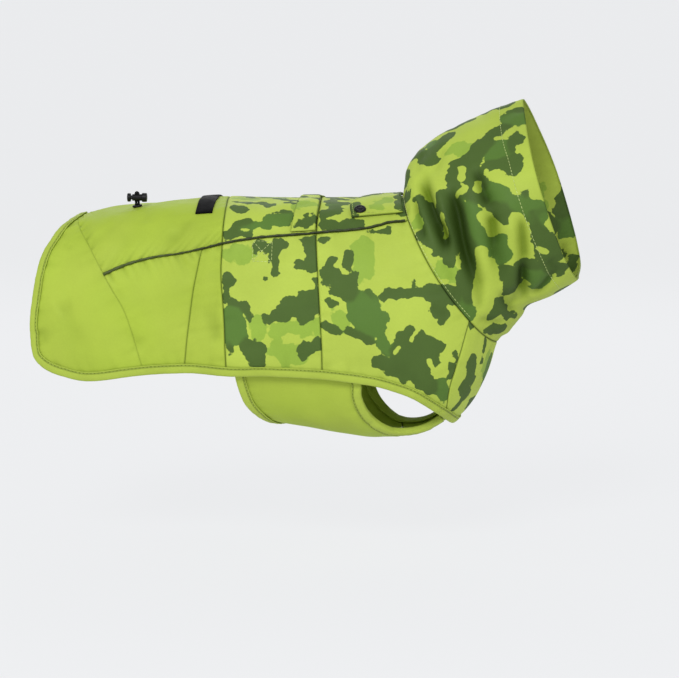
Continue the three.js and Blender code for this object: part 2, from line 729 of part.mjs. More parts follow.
function addBellyBand() {
  const bandNet = Array.from({ length: COUNT.band + 1 }, (_, i) => beneath(
    BAND.map(({ round, rear, front }) => [THREE.MathUtils.lerp(rear, front, i / COUNT.band), round]),
  ));
  const strapRound = STRAP[0].round;
  const frontInset = ([, round]) => (Math.abs(round + 180) < 180 - strapRound ? GAP / 2 : PANEL_TO_HEM);
  const bandInside = drawnIn(bandNet, { rear: PANEL_TO_HEM, front: frontInset });
  add('belly_band', cloth(bandInside, { under: tuck }), 'lime');

  const bandEdge = (edge, from) => BAND.filter((row) => row.round >= from)
    .map((row) => [row[edge], row.round]);
  const strapSide = joined(nodes(STRAP, 'band', 'hem', COUNT.strap), nodes(STRAP, 'hem', 'end', 1));
  const strapEnd = STRAP[STRAP.length - 1];
  const strapRear = bandEdge('front', strapRound);
  const strap = {
    right: sided(strapSide, RIGHT),
    left: strapSide.map(([ring, round]) => [ring, round - 360]),
    rear: beneath(strapRear),
    front: beneath(ringNodes(strapEnd.ring, strapEnd.round, 180, strapRear.length - 1)),
  };
  const strapInsets = { right: PANEL_TO_HEM, left: PANEL_TO_HEM, front: 0 };
  add('chest_strap', panel(strap, strapInsets, { under: tuck }), 'lime');

  add('band_binding', binding(beneath(bandEdge('rear', WING_ROUND)), 1, tuck), 'binding');
  const legEdge = joined(
    bandEdge('front', WING_ROUND).filter(([, round]) => round <= strapRound),
    nodes(STRAP, 'band', 'hem', COUNT.strap),
  );
  for (const [mark, hand] of [['R', RIGHT], ['L', LEFT]]) {
    add(`leg_binding_${mark}`, binding(sided(legEdge, hand), hand, tuck), 'binding');
  }
}

// Places a shape on the cloth: its Z axis stands out from the skin and its X axis points forward.
function onSkin(geometry, { ring, round }, height) {
  const { along, normal } = tangents(ring, round);
  const forward = along.normalize();
  const frame = new THREE.Matrix4().makeBasis(forward, normal.clone().cross(forward), normal);
  return geometry.applyMatrix4(frame.setPosition(skin(ring, round, height)));
}

function addBackTrims() {
  const labelNet = [LABEL.rear, LABEL.front].map((ring) => over(ringNodes(ring, 0, LABEL.half, 4)));
  add('label', cloth(labelNet, { out: LIFT + TAPE, wall: TAPE }), 'label');

  const flap = {
    right: sided(nodes(FLAP.low, 'free', 'neck', COUNT.flap), RIGHT),
    left: sided(nodes(FLAP.high, 'free', 'neck', COUNT.flap), RIGHT),
    rear: sided(joined(nodes(FLAP.end, 'low', 'corner', 3), nodes(FLAP.end, 'corner', 'high', 3)), RIGHT),
    front: sided(nodes(FLAP.neck, 'low', 'high', 6), RIGHT),
  };
  add('leash_flap', cloth(netInside(flap), { out: FLAP.lift + FLAP_WALL, wall: FLAP_WALL }), 'camo');

  const { radius, height } = SNAP;
  const cap = [[0, 0], [radius, 0], [radius, 0.5], [0.9, 0.85], [0.55, 1], [0.45, 0.85], [0, 0.8]];
  const profile = cap.map(([r, h], i) => new THREE.Vector2(i < 3 ? r : r * radius, h * height));
  const snap = new THREE.LatheGeometry(profile, 24).rotateX(Math.PI / 2);
  add('snap_cap', onSkin(snap, SNAP, FLAP.lift + FLAP_WALL + GAP), 'plastic');
}

// The spring cord lock stands on its elastic cord, which comes up through a grommet in the back.
function addCordLock() {
  const ring = oval(THREE.Shape, GROMMET.length, GROMMET.width);
  ring.holes.push(oval(THREE.Path, GROMMET.holeLength, GROMMET.holeWidth));
  const grommet = new THREE.ExtrudeGeometry(ring, {
    depth: GROMMET.height, bevelEnabled: false, curveSegments: 8,
  });
  add('cord_grommet', onSkin(grommet, CORD, GAP), 'plastic');

  const stand = new THREE.Group();
  const { normal } = tangents(CORD.ring, CORD.round);
  stand.position.copy(skin(CORD.ring, CORD.round));
  stand.rotation.x = Math.atan2(-normal.y, normal.z);
  coat.add(stand);

  const top = LOCK.height + LOCK.loop - CORD.diameter / 2;
  const bend = CORD.spacing / 2;
  const rise = [0.5, 0.5 * LOCK.height, LOCK.height, top - bend];
  const path = new THREE.CatmullRomCurve3([
    ...rise.map((z) => new THREE.Vector3(-bend, 0, z)),
    ...[1, 2, 3].map((i) => {
      const angle = Math.PI * (1 - i / 4);
      return new THREE.Vector3(bend * Math.cos(angle), 0, top - bend + bend * Math.sin(angle));
    }),
    ...rise.map((z) => new THREE.Vector3(bend, 0, z)).reverse(),
  ], false, 'centripetal');
  const section = new THREE.Shape(Array.from({ length: 8 }, (_, i) => {
    const angle = (Math.PI * (i + 0.5)) / 4;
    return new THREE.Vector2(Math.cos(angle), Math.sin(angle)).multiplyScalar(CORD.diameter / 2);
  }));
  const cord = new THREE.ExtrudeGeometry(section, { steps: 44, bevelEnabled: false, extrudePath: path });
  add('drawcord', cord, 'cord', stand);

  const bevel = LOCK.bevel;
  const shell = turned([
    [0, LOCK.boreEnd],
    [LOCK.bore, LOCK.boreEnd],
    [LOCK.bore, LOCK.left],
    [LOCK.barrel, LOCK.left],
    [LOCK.barrel, LOCK.flangeStart],
    [LOCK.flange, LOCK.flangeStart + bevel],
    [LOCK.flange, LOCK.right - bevel],
    [LOCK.flange - bevel, LOCK.right],
    [0, LOCK.right],
  ]);
  const cordHole = slot(-LOCK.holeHalf, LOCK.holeHalf, LOCK.holeWidth, 4 * LOCK.barrel);
  const barrel = fromManifold(toManifold(shell).subtract(toManifold(cordHole)));
  add('lock_barrel', barrel.translate(0, 0, LOCK.height), 'plastic', stand);

  const button = turned([
    [0, LOCK.buttonOuter],
    [LOCK.button - bevel, LOCK.buttonOuter],
    [LOCK.button, LOCK.buttonOuter + bevel],
    [LOCK.button, LOCK.buttonInner - bevel],
    [LOCK.button - bevel, LOCK.buttonInner],
    [LOCK.stem, LOCK.buttonInner],
    [LOCK.stem, LOCK.stemEnd],
    [0, LOCK.stemEnd],
  ]);
  const cordSlot = slot(LOCK.slotLeft, LOCK.slotRight, LOCK.slotWidth, 4 * LOCK.barrel);
  const plunger = fromManifold(toManifold(button).subtract(toManifold(cordSlot)));
  add('lock_plunger', plunger.translate(0, 0, LOCK.height), 'plastic', stand);
}

addMiddlePanels();
for (const [mark, hand] of [['R', RIGHT], ['L', LEFT]]) {
  addSidePanels(mark, hand);
  addHoodHalf(mark, hand);
  addHemAndPiping(mark, hand);
}
addBellyBand();
addBackTrims();
addCordLock();

export default coat;
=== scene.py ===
"""Dog raincoat with a standing hood: sewn shell cloth, printed and plain, round its CAD frame."""

import math

import bmesh
import bpy
import numpy as np
from mathutils import Matrix, Vector


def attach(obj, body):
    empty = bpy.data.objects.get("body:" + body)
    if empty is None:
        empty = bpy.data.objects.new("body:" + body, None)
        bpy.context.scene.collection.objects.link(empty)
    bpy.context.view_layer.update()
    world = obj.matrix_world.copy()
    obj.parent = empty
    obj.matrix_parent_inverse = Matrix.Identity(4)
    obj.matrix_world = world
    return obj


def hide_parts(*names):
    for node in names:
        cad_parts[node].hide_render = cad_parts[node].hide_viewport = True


bl_info = {
    "name": "Dog raincoat",
    "version": (1, 0, 0),
    "blender": (4, 5, 0),
    "location": "3D View > Sidebar > Raincoat",
    "description": "Builds a hooded dog raincoat with its cloth, trims and studio",
    "category": "Add Mesh",
}

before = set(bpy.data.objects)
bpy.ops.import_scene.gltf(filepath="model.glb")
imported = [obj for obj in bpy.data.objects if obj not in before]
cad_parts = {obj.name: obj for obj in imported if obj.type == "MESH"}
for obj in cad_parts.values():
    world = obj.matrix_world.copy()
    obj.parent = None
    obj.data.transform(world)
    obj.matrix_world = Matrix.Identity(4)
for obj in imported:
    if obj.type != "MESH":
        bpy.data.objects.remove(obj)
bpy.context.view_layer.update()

# Every length in the tables is in millimetres. A place on the coat is a pair: ring, a number along
# the coat from the tail to the hood's rim, and about, degrees round it from the crest of the back,
# negative on the right and positive on the left.
MM = 0.001
WALL = 1.6  # of the shell cloth
FLAP_WALL = 2.0
TAPE = 1.0
GAP = 0.3  # between two pieces that lie on each other
LIFT = 0.6  # of a tape's inner face over the cloth
BINDING_WIDTH = 8.5
BINDING_SLACK = 1.2  # between the cloth's inner face and the tape behind it
BINDING_STITCH = 1.4  # from the tape's inner rim
PANEL_TO_HEM = 1.6
PIPING_WIDTH = 3.0
PIPING_HEIGHT = 1.2
VENT_TO_PIPING = 2.2
NECK_RING = 12
RIM_RING = 19
YOKE_ROUND = 45.5  # where the piped seams meet the neck
CHEST_ROUND = 125  # where the chest's seams meet the neck
RIGHT = -1
LEFT = 1
SIDES = (RIGHT, LEFT)
MARKS = {RIGHT: "R", LEFT: "L"}
UNDER_BELLY = 360  # taken off a left place's degrees where a line reaches it under the belly

# top x and z, low x and z, half width, squareness, bow, turn in degrees, narrowing of the crest
RINGS = np.array([
    (-252, -38, -252, -209, 52, 0.07, 0, 0, 0),
    (-219, -21, -219, -207, 69, 0.07, 0, 0, 0),
    (-185, -10, -185, -202, 76, 0.075, 0, 0, 0),
    (-150, -4.5, -150, -195, 79, 0.08, 0, 0, 0),
    (-117, -1, -117, -189, 80, 0.085, 0, 0, 0),
    (-82, 0.8, -82, -185, 81, 0.09, 0, 0, 0),
    (-45, 1.6, -45, -189, 82, 0.09, 0, 0, 0),
    (3, 1.6, 3, -197, 82, 0.09, 0, 0, 0),
    (29, 1.6, 51, -203, 82, 0.085, 0, 0, 0),
    (48, 2.1, 95, -197, 81, 0.08, -2, 0, 0),
    (61, 3, 122, -180, 79, 0.07, -4, 0, 0),
    (69, 3.4, 140, -153, 77, 0.06, -7, 0, 0),
    (73, 4.3, 152, -119, 74, 0.05, -9, 0, 0),
    (75, 15, 162, -110, 73, 0.05, -9, 0.5, 0.05),
    (76, 26, 172, -98, 73, 0.05, -8, 1.5, 0.12),
    (82, 37, 178, -89, 74, 0.05, -6, 2.5, 0.22),
    (98, 51, 189, -84, 75, 0.05, -4, 4, 0.35),
    (122, 64, 200, -79, 76, 0.05, -2, 5, 0.5),
    (146, 75, 211, -72, 76, 0.05, -1, 6, 0.62),
    (173, 84, 221, -65, 75, 0.05, 0, 6, 0.7),
])

# The hood's largest folds: three places, width and depth.
FOLDS = (
    (15.1, 34, 14.6, 67, 13.6, 96, 8.5, 4),
    (16, 58, 15.1, 92, 13.4, 126, 9.5, 6.5),
    (17.1, 60, 16.5, 100, 14.9, 134, 8.5, 3.6),
    (17.9, 92, 17.1, 118, 14.7, 156, 8, 3),
)
# On the left the folds lie a little further forward and are shallower.
LEFT_RING_SHIFT = 0.25
LEFT_DEPTH_SHARE = 0.85
LEFT_CREASE_SHARE = 0.8

# Sharper creases and ridges: three places, width, depth (a ridge is negative).
CREASES = (
    (14.95, 37, 14.62, 63, 13.55, 93, 4.8, 4.6),
    (15.85, 58, 15.5, 82, 13.8, 116, 4.6, 5.6),
    (15.6, 48, 15.2, 70, 14.5, 90, 4.5, -1.8),
    (17.05, 56, 16.98, 70, 16.85, 84, 4.6, 4.4),
    (16.9, 84, 16.4, 98, 15.5, 121, 4.5, 3.0),
    (17.5, 92, 17.2, 106, 16.6, 120, 4.5, -1.4),
    (18.0, 92, 17.5, 110, 16.9, 124, 4.0, 3.6),
    (16.95, 121, 16.2, 138, 15.1, 156, 3.8, 3.4),
    (17.19, 118, 16.4, 130, 15.3, 147, 4.2, 3.4),
    (18.3, 139, 17.14, 144, 15.9, 150, 6.0, 3.4),
    (15.1, 127, 14.42, 142, 14.2, 162, 5.0, 3.0),
    (12.7, 128, 12.95, 139, 13.6, 154, 5.0, 2.2),
    (18.16, 126, 18.23, 135, 18.24, 144, 5.0, 2.0),
    (14.7, 70, 14.44, 78, 13.9, 87, 4.0, 2.6),
    (16.87, 86, 16.68, 95, 16.3, 107, 4.6, 2.0),
    (15.6, 130, 15.2, 142, 14.7, 151, 4.0, 1.8),
    (14.6, 110, 13.8, 119, 12.8, 127, 3.8, 2.2),
    (13.6, 40, 13.1, 56, 12.6, 72, 4.0, 3.2),
    (13.3, 86, 13.0, 94, 12.8, 101, 3.6, 1.6),
    (16.5, 30, 16.1, 40, 15.6, 50, 5.0, 1.6),
    (15.6, 20, 15.2, 30, 14.9, 40, 4.5, 1.4),
    (18.4, 26, 18.2, 40, 17.8, 52, 5.5, 1.0),
    (10.9, 92, 11.2, 101, 11.5, 110, 4.0, 1.4),
    (4.52, 34, 4.29, 46, 3.99, 56, 6.0, 1.6),
    (3.35, 19, 3.35, 32, 3.35, 41, 5.0, 1.2),
    (1.67, 24, 1.91, 40, 2.14, 53, 6.0, 1.4),
    (2.1, 47, 2.35, 42, 2.66, 36, 6.0, 1.1),
    (2.67, 38, 2.86, 47, 2.96, 55, 6.0, 1.0),
    (3.9, 57, 4.0, 50, 4.1, 44, 4.0, 1.0),
    (2.99, 93, 3.16, 99, 3.4, 106, 7.0, 1.3),
    (4.43, 62, 4.37, 64, 4.28, 68, 5.0, 1.0),
    (0.71, 83, 0.83, 88, 0.98, 93, 8.0, 1.6),
    (1.18, 77, 1.4, 75, 1.68, 75, 8.0, 1.0),
    (1.28, 40, 1.41, 44, 1.57, 46, 3.0, 1.0),
    (2.9, 24, 3.1, 21, 3.3, 16, 3.0, 1.0),
    (2.6, 22, 2.75, 19, 2.85, 16, 3.0, 1.0),
    (3.3, 12, 3.6, 10, 3.9, 8, 3.0, 0.8),
    (4.93, 82, 5.06, 96, 5.22, 107, 7.0, 1.7),
    (4.72, 62, 4.66, 82, 4.56, 106, 5.0, 0.9),
    (5.14, 62, 5.18, 84, 5.22, 108, 4.5, 1.0),
    (6.98, 66, 7.02, 84, 7.06, 104, 4.0, 0.8),
    (5.7, 106, 6.1, 103, 6.6, 104, 7.0, 0.9),
    (7.5, 110, 8.0, 107, 8.5, 109, 8.0, 1.0),
    (8.6, 108, 9.0, 116, 9.4, 126, 7.0, 1.0),
    (1.4, 70, 1.6, 86, 2.1, 100, 9.0, 1.0),
    (3.2, 112, 3.7, 104, 4.0, 98, 5.0, 0.7),
)
FADE = 0.3  # share of a fold's length over which each of its ends fades
# Painted shade in a hollow: the depth that it is measured by, weight and power.
FOLD_SHADE = (5.5, 1.1, 1.6)
CREASE_SHADE = (3.8, 1.2, 2.4)
# The cloth's unevenness: height, size and seed of each wave.
RIPPLES = ((0.95, 75, 3), (0.3, 30, 5))


def seam(text):
    """A seam from 'name ring about' entries. A dot stands for a place without a name."""
    rows = [entry.split() for entry in text.split(";")]
    return [row[0] for row in rows], np.array([[float(value) for value in row[1:]] for row in rows])


HEM = seam(
    "rear 1.38 0; gusset 1.27 16; . 1.03 32; . .78 44.5; . .6 61.5; . .49 80; . .56 96;"
    "corner .86 104.5; . 1.4 111; . 2.1 115.8; foot 3.4 117.2; slant 4.38 118.7; camo 5.38 120.8;"
    ". 6.3 118.2; yoke 7.18 116.2; . 7.9 116.2; . 8.45 119.2; . 9 126.5; . 9.4 138.5;"
    "chest 9.6 153; front 9.64 180"
)
GUSSET_TOP = seam("hem 1.27 16; turn 1.52 17.5")
GUSSET = seam(
    "turn 1.52 17.5; . 1.68 33; . 1.97 47; piping 2.4 64.5; . 2.6 72; . 2.93 84.5; . 3.19 102;"
    "foot 3.4 117.2"
)
PIPED = seam(
    "gusset 2.4 64.5; . 2.93 61.4; . 3.61 59.5; . 4.27 58.8; slant 4.81 57.3; camo 5.28 55.1;"
    ". 5.93 52.2; . 6.58 49.6; yoke 7.05 48; . 7.7 46.7; . 8.62 45.3; . 9.28 43.8; . 10.05 43;"
    "neck 12 45.5"
)
SLANT = seam("top 4.81 57.3; . 4.63 76.3; . 4.5 96.7; foot 4.38 118.7")
CAMO = seam("crest 5.18 0; . 5.26 30; piping 5.28 55.1; . 5.27 70; . 5.34 92; foot 5.38 120.8")
YOKE = seam("crest 7.02 0; . 7.06 26; piping 7.05 48; . 7.11 68; . 7.17 96; foot 7.18 116.2")
VENT = seam("crest 6.64 0; . 6.63 26; piping 6.58 49.5")
CHEST = seam("neck 12 125; . 11.22 126.3; . 10.7 128.4; . 10.2 133; . 9.85 142; foot 9.6 153")
STRAP = seam("band 8.38 150; . 8.6 154; . 8.9 157; . 9.3 158.5; hem 9.53 159.2; end 9.95 160")
FLAP_LOW = seam("free 8.1 39; . 9.2 37.6; neck 11.55 38")
FLAP_HIGH = seam("free 8.5 8; . 9.4 -2; neck 11.55 -5")
FLAP_END = seam("low 8.1 39; corner 8.06 25; high 8.5 8")
RIM_STITCH = seam("crest 18.3 0; . 18.2 50; . 18.2 71; . 17.9 126; . 17.8 139; throat 17.75 180")

# Belly band: about, rear ring, front ring.
BAND = np.array([
    (52.5, 5.97, 6.31), (66, 5.97, 6.33), (75, 5.9, 6.55), (84, 5.78, 6.95), (94, 5.66, 7.4),
    (104, 5.57, 7.72), (116, 5.52, 7.92), (124, 5.55, 7.9), (132, 5.62, 7.97), (140, 5.72, 8.12),
    (150, 5.92, 8.38), (160, 6.08, 8.42), (170, 6.17, 8.43), (180, 6.2, 8.43),
])
WING_ROUND = 104  # where the band's bindings start
# How far the belly band lies inside the coat's outer face: about, depth.
TUCK = np.array([(52, 2.3), (72, 2.3), (96, 6.2), (124, 6.2), (165, 1.5), (180, 1.3)])
CHEST_TUCK = (8.6, 9.5, 2.8)  # from ring, to ring, added depth
LABEL = (4.57, 4.97, 35.5)  # rear ring, front ring, half of its spread about the crest
FLAP_LIFT = 0.9
FLAP_TOP = FLAP_LIFT + FLAP_WALL
FLAP_STITCH = 2.2  # from the flap's edge
SNAP = (8.44, -34)
BOX_STITCH = (5.96, 6.30, 53.2, 63.0)  # two rings, two places about
CORD_PLACE = (2.99, -17)
LOCK_HEIGHT = 8.2  # of the lock's axis over the cloth
LOOP_HEIGHT = 5.4  # of the cord's loop over the lock's axis

# The print: each mark is a stroke between two places with a radius.
PRINT = {
    "back": {
        "mid": ((5.76, 45, 6.21, 45, 3), (6.25, 41, 6.48, 40, 6.5), (6.0, 3, 6.35, 9, 4.5)),
        "dark": (
            (5.4, 51, 5.86, 50, 3.5), (5.62, 44.5, 5.8, 43, 4.4), (6.28, 36, 6.51, 34.5, 2.2),
            (5.39, 19.6, 5.79, 24.4, 1.7), (6.28, 14.3, 6.58, 20, 2.5), (6.48, 23, 6.57, 25, 2),
            (6.7, 44, 7.02, 40, 4), (6.68, 13.8, 7.05, 20.5, 1.5), (5.6, -3, 5.8, 4, 4),
            (6.8, 2, 6.95, 6, 3), (5.45, 30, 5.7, 34, 4), (6, 24, 6.2, 28, 4),
        ),
        "light": ((5.98, 49, 6.4, 47.8, 2.1),),
        "soft": ((5.5, 8, 5.9, 14, 5), (6.6, 30, 6.9, 28, 4)),
    },
    "yoke": {
        "mid": ((7.34, 24, 7.75, 24, 2.5), (9.6, 3, 10.2, -3, 6), (11.3, 20, 11.6, 27, 4)),
        "dark": (
            (7.2, 43.4, 8.36, 43, 4.7), (7.18, 35.7, 7.67, 31, 4.7), (7.9, 2, 8.4, 7, 5),
            (9.9, 12, 10.6, 17, 5), (10.9, -6, 11.4, 2, 4), (8.6, 34, 9.2, 30, 4), (9, 24, 9.6, 28, 5),
            (7.3, 8, 7.8, 14, 4), (11.2, 30, 11.6, 38, 4), (7.25, 19, 7.75, 23, 4.5),
            (7.5, 27, 7.9, 22, 3),
        ),
        "light": ((7.83, 31, 7.97, 33, 1.7), (8.9, 44, 10.2, 41, 1.5)),
        "soft": ((8.7, 14, 9.2, 20, 6),),
    },
    "flap": {
        "mid": (),
        "dark": ((8.12, 37, 8.2, 27, 3.4), (8.3, 15, 9.4, 3, 3.2), (11.35, 8, 11.55, 34, 5),
                 (10.4, 0, 11.5, -3, 5)),
        "light": (),
        "soft": ((9.3, 30, 9.8, 24, 5),),
    },
    "flank": {
        "mid": ((5.55, 89.6, 5.61, 100.5, 9.4),),
        "dark": (
            (6.05, 55.7, 6.42, 54.7, 3.7), (6.36, 57, 6.36, 68, 4.2), (6.24, 71, 6.43, 68, 2.1),
            (6.85, 52.6, 7.02, 52, 5), (6.92, 58, 6.99, 63.5, 5.2), (6.75, 63, 7.03, 63.6, 2.5),
            (6.54, 83.7, 7.04, 78, 6.5), (6.37, 89, 6.73, 86, 4.4), (6.2, 88.6, 6.31, 89.7, 1.7),
            (6.83, 88, 7.07, 82.7, 4.7), (7.06, 70.7, 7.12, 76, 2.5), (5.39, 70.6, 5.52, 73, 3.2),
            (5.36, 74.5, 5.39, 83, 1.9), (5.76, 85, 5.92, 89.8, 3.2), (5.8, 104.5, 6.12, 104, 4.7),
            (5.44, 104.4, 5.51, 106.5, 3), (5.91, 108.6, 6.09, 111, 4.4),
            (6.84, 103.4, 7.14, 100, 4.5), (6.8, 106.2, 6.81, 106.4, 2.5), (5.43, 84, 5.7, 84.3, 2.2),
            (6.31, 91.4, 6.28, 93, 1.5),
        ),
        "light": ((6.79, 59, 6.8, 59.2, 2.7),),
        "soft": (
            (5.53, 59.6, 5.79, 60.2, 7.2), (6.07, 92.4, 6.1, 99.5, 5.2),
            (6.42, 104.5, 6.73, 106.5, 7.5), (6.35, 95, 7.07, 91.7, 5.2),
        ),
    },
    "shoulder": {
        "mid": ((8.18, 81, 8.32, 88, 13.5), (8.6, 96, 8.66, 103.4, 4.2), (9.91, 126, 10, 136, 5.5)),
        "dark": (
            (7.15, 51, 7.35, 50.6, 2.5), (7.39, 68.5, 7.84, 71, 7.2), (7.63, 73.7, 7.93, 76, 7),
            (7.31, 64.4, 7.46, 61, 1.7), (7.88, 64.5, 7.96, 58, 2.4), (8.06, 68, 8.15, 66, 1.5),
            (7.44, 79.4, 7.58, 80, 2.5), (7.23, 91, 7.41, 92, 3.2), (7.4, 93, 7.52, 93.3, 1.1),
            (7.87, 92, 8.28, 95.4, 3.7), (8.38, 75, 8.46, 77.6, 3), (8.88, 77.5, 9.63, 77, 3.7),
            (9.68, 78, 10.77, 84, 3.2), (10.37, 78, 10.66, 77, 2), (11.32, 89, 11.58, 99, 7.2),
            (11.04, 97.6, 11.4, 106, 5.2), (11.17, 105, 11.15, 105.4, 1.7),
            (9.2, 97.7, 9.46, 96, 4.7), (9.02, 104.6, 9.58, 112, 12.2), (9.83, 103.6, 10.25, 109, 7.7),
            (10.16, 111, 10.09, 116, 3.7), (8.52, 107, 8.89, 113, 7.2), (8.33, 105, 8.4, 105.6, 3.2),
            (9.2, 114.5, 9.71, 124.7, 7.2), (10.36, 129.5, 10.61, 126, 3.2),
            (10.91, 123.6, 10.85, 126.5, 2), (8.92, 47.3, 9.69, 48.3, 2.7), (11.43, 92, 12.16, 107, 7),
        ),
        "light": ((9.87, 113.3, 9.9, 120.2, 2.1), (8.98, 101.3, 8.87, 102.7, 1.7)),
        "soft": ((8.44, 55, 8.34, 66, 7.2), (7.59, 85.7, 7.66, 88.3, 6)),
    },
    "chest": {
        "mid": ((11.5, 166, 11.1, 172, 6),),
        "dark": (
            (12.05, 129.4, 12.05, 129.6, 2.2), (11.21, 139, 10.88, 148, 5.5),
            (10.65, 144, 10.49, 152, 5), (10.27, 150, 10.08, 151, 3), (11.86, 148, 11.4, 151, 1.7),
            (10.4, 168, 10.2, 180, 6),
        ),
        "light": (),
        "soft": ((11.6, 158, 11.3, 160, 4),),
    },
    "hood": {
        "mid": (
            (15.88, 18, 15.95, 21, 3.3), (17.86, 57, 18.12, 54.7, 9.8), (18.59, 34.7, 18.79, 38.7, 7),
            (17.15, 76, 17.53, 82, 7.9), (17.77, 87.6, 18.6, 95, 6.5), (18.51, 98, 18.6, 103, 5.1),
            (17.04, 130, 17.03, 139, 8.9), (16.37, 110, 16.56, 102.6, 6.5),
            (16.13, 80, 15.99, 91.5, 9.2), (16.06, 96.5, 15.83, 103.7, 4.3),
            (12.3, 112.5, 12.34, 120, 5.7),
        ),
        "dark": (
            (15.26, 14.6, 15.8, 37, 4.6), (15.94, 27.4, 16.53, 23, 5.7), (16.4, 3, 17.41, 13.4, 1.2),
            (16.9, 56, 17.54, 47, 7.9), (17.56, 46, 18.17, 42, 6), (17.54, 61, 17.98, 63, 6.5),
            (18.56, 28.4, 18.8, 29, 2.7), (18.28, 41, 18.5, 42, 3.5), (18.36, 57, 18.69, 52, 4.6),
            (18.48, 64.6, 18.33, 70, 4.9), (18.18, 65, 18.2, 71, 3), (16.45, 51, 16.18, 57, 3.3),
            (16.69, 50, 16.9, 50.5, 1.8), (16.22, 60, 16.02, 64, 3.3), (16.47, 70.5, 16.88, 76, 6.5),
            (17.19, 83, 17.46, 92.4, 7), (18.39, 84.5, 18.39, 87, 1.8), (18.37, 108, 18.3, 117, 6.2),
            (18.56, 117, 18.48, 128, 7.6), (18.07, 132.4, 18.54, 139, 6.2), (17.99, 125, 17.99, 125.4, 5),
            (17.17, 125.7, 17.53, 126.8, 5.1), (16.08, 124, 15.61, 133, 8.1),
            (16.99, 58, 17.1, 71, 4.1), (15.95, 73, 15.2, 97.5, 5.7), (14.73, 85, 14.57, 92, 3.5),
            (16.61, 120, 17.01, 123, 2.4), (15.63, 63.6, 16.14, 66.5, 3), (17.17, 75, 17.47, 83.5, 3.5),
            (18.48, 97, 18.48, 107, 4.1), (16.63, 63, 16.84, 73, 3.5),
            (15.46, 69, 15.03, 83, 7), (15.31, 90, 14.42, 106.4, 6.5), (13.67, 105, 13.08, 112, 6.2),
            (13.89, 48, 14.31, 61, 3.5), (14.33, 59, 14.16, 68.7, 5.4), (13.04, 65.6, 13.71, 81.5, 6.2),
            (13.87, 87, 13.64, 91.7, 2.7), (15.2, 66.7, 15.5, 63, 3.8), (13.67, 133.4, 13.92, 135.6, 6.2),
            (13.16, 134.8, 13.17, 135.5, 2.4), (13.99, 141.7, 14, 142.5, 2.4),
            (12.48, 143.8, 12.98, 155, 3.3), (13.77, 149.4, 13.95, 158.4, 1.5), (11.43, 92, 12.3, 107, 7),
            (15.4, 168, 16.2, 176, 6), (17.5, 164, 18.2, 172, 5),
            (13.2, 6, 13.7, 24, 6), (14.2, -4, 14.9, 6, 5), (17.9, -6, 18.5, 8, 6),
            (12.5, 28, 12.9, 34, 4),
        ),
        "light": (
            (18.03, 46.7, 18.38, 50.4, 1.9), (17.36, 63.4, 17.37, 63.6, 1.5),
            (16.9, 66.6, 16.81, 70, 2.7),
            (16.62, 56, 16.46, 60.6, 3.5), (16.4, 66.7, 16.07, 67, 3.1), (17.7, 98, 17.3, 112.7, 8.1),
            (17.98, 117.6, 18.3, 123, 2.3), (16.35, 137.4, 15.73, 144, 2.4), (16.55, 85.5, 16.5, 96, 4.6),
            (16.63, 96.4, 17.23, 98, 2.3), (15.6, 102, 15.04, 112, 4.9),
            (15.17, 115.5, 13.53, 124, 9.8), (14.97, 71, 14.4, 80, 3),
        ),
        "soft": ((13.17, 58.4, 13.13, 59, 6.2), (16.67, 39.7, 16.97, 46, 7.9), (12.99, 91, 13.22, 98, 6)),
    },
}
# The rings between which a family's marks are turned round for the left side.
PRINT_RINGS = {"back": (5.2, 7.1), "yoke": (7, 12), "flank": (5.3, 7.1), "shoulder": (7.2, 11.6),
               "chest": (9.8, 12), "hood": (12, 19), "flap": (8, 11.6)}
TONES = ("mid", "dark", "light", "soft")
NO_MARK = -60.0  # a tone's field where none of its marks is near
HOOD_GROWTH = {RIGHT: 1.1, LEFT: 2.6}  # added to the radius of the hood's green marks
# Painted shade added all over the hood, which makes it a little darker than the body.
HOOD_SHADE = 0.1


# ---- the coat's outer face ----
def blend(value, low, high):
    """A smooth step from 0 at low to 1 at high."""
    part = np.clip((np.asarray(value, float) - low) / (high - low), 0, 1)
    return part * part * (3 - 2 * part)


def unit(vectors):
    return vectors / np.linalg.norm(vectors, axis=-1, keepdims=True)


def beyond(end, following):
    """The row past the end of a table: mirrored over the crest or the underline, or straight on."""
    if len(end) == 2 and end[1] in (0, 180):
        return np.array([following[0], 2 * end[1] - following[1]])
    return 2 * end - following


def smooth_rows(rows, place):
    """Values between a table's rows, on a smooth curve through them."""
    last = len(rows) - 1
    place = np.asarray(place, float)
    index = np.clip(np.floor(place).astype(int), 0, last - 1)
    part = (place - index)[..., None]
    padded = np.vstack([beyond(rows[0], rows[1]), rows, beyond(rows[-1], rows[-2])])
    a, b, c, d = (padded[index + step] for step in range(4))
    bend = 2 * a - 5 * b + 4 * c - d
    return 0.5 * (2 * b + (c - a) * part + bend * part**2 + (3 * (b - c) + d - a) * part**3)


def bare_skin(ring, about):
    """The coat's outer face before its folds."""
    ring, about = np.broadcast_arrays(np.asarray(ring, float), np.asarray(about, float))
    columns = np.moveaxis(smooth_rows(RINGS, ring), -1, 0)
    top_x, top_z, low_x, low_z, half_width, square, bow, turn, peak = columns
    angle = np.radians(about)
    swell = 1 + square * np.sin(2 * angle) ** 2
    half_x, half_z = (top_x - low_x) / 2, (top_z - low_z) / 2
    half = np.hypot(half_x, half_z)
    up = np.cos(angle) * swell
    narrowing = 1 - peak * np.maximum(np.cos(angle), 0) ** 2
    y = half_width * np.sin(angle) * swell * narrowing
    forward = bow * np.sin(angle) ** 2 + y * np.tan(np.radians(turn))
    x = (top_x + low_x) / 2 + half_x * up + half_z / half * forward
    z = (top_z + low_z) / 2 + half_z * up - half_x / half * forward
    return np.stack([x, y, z], -1)


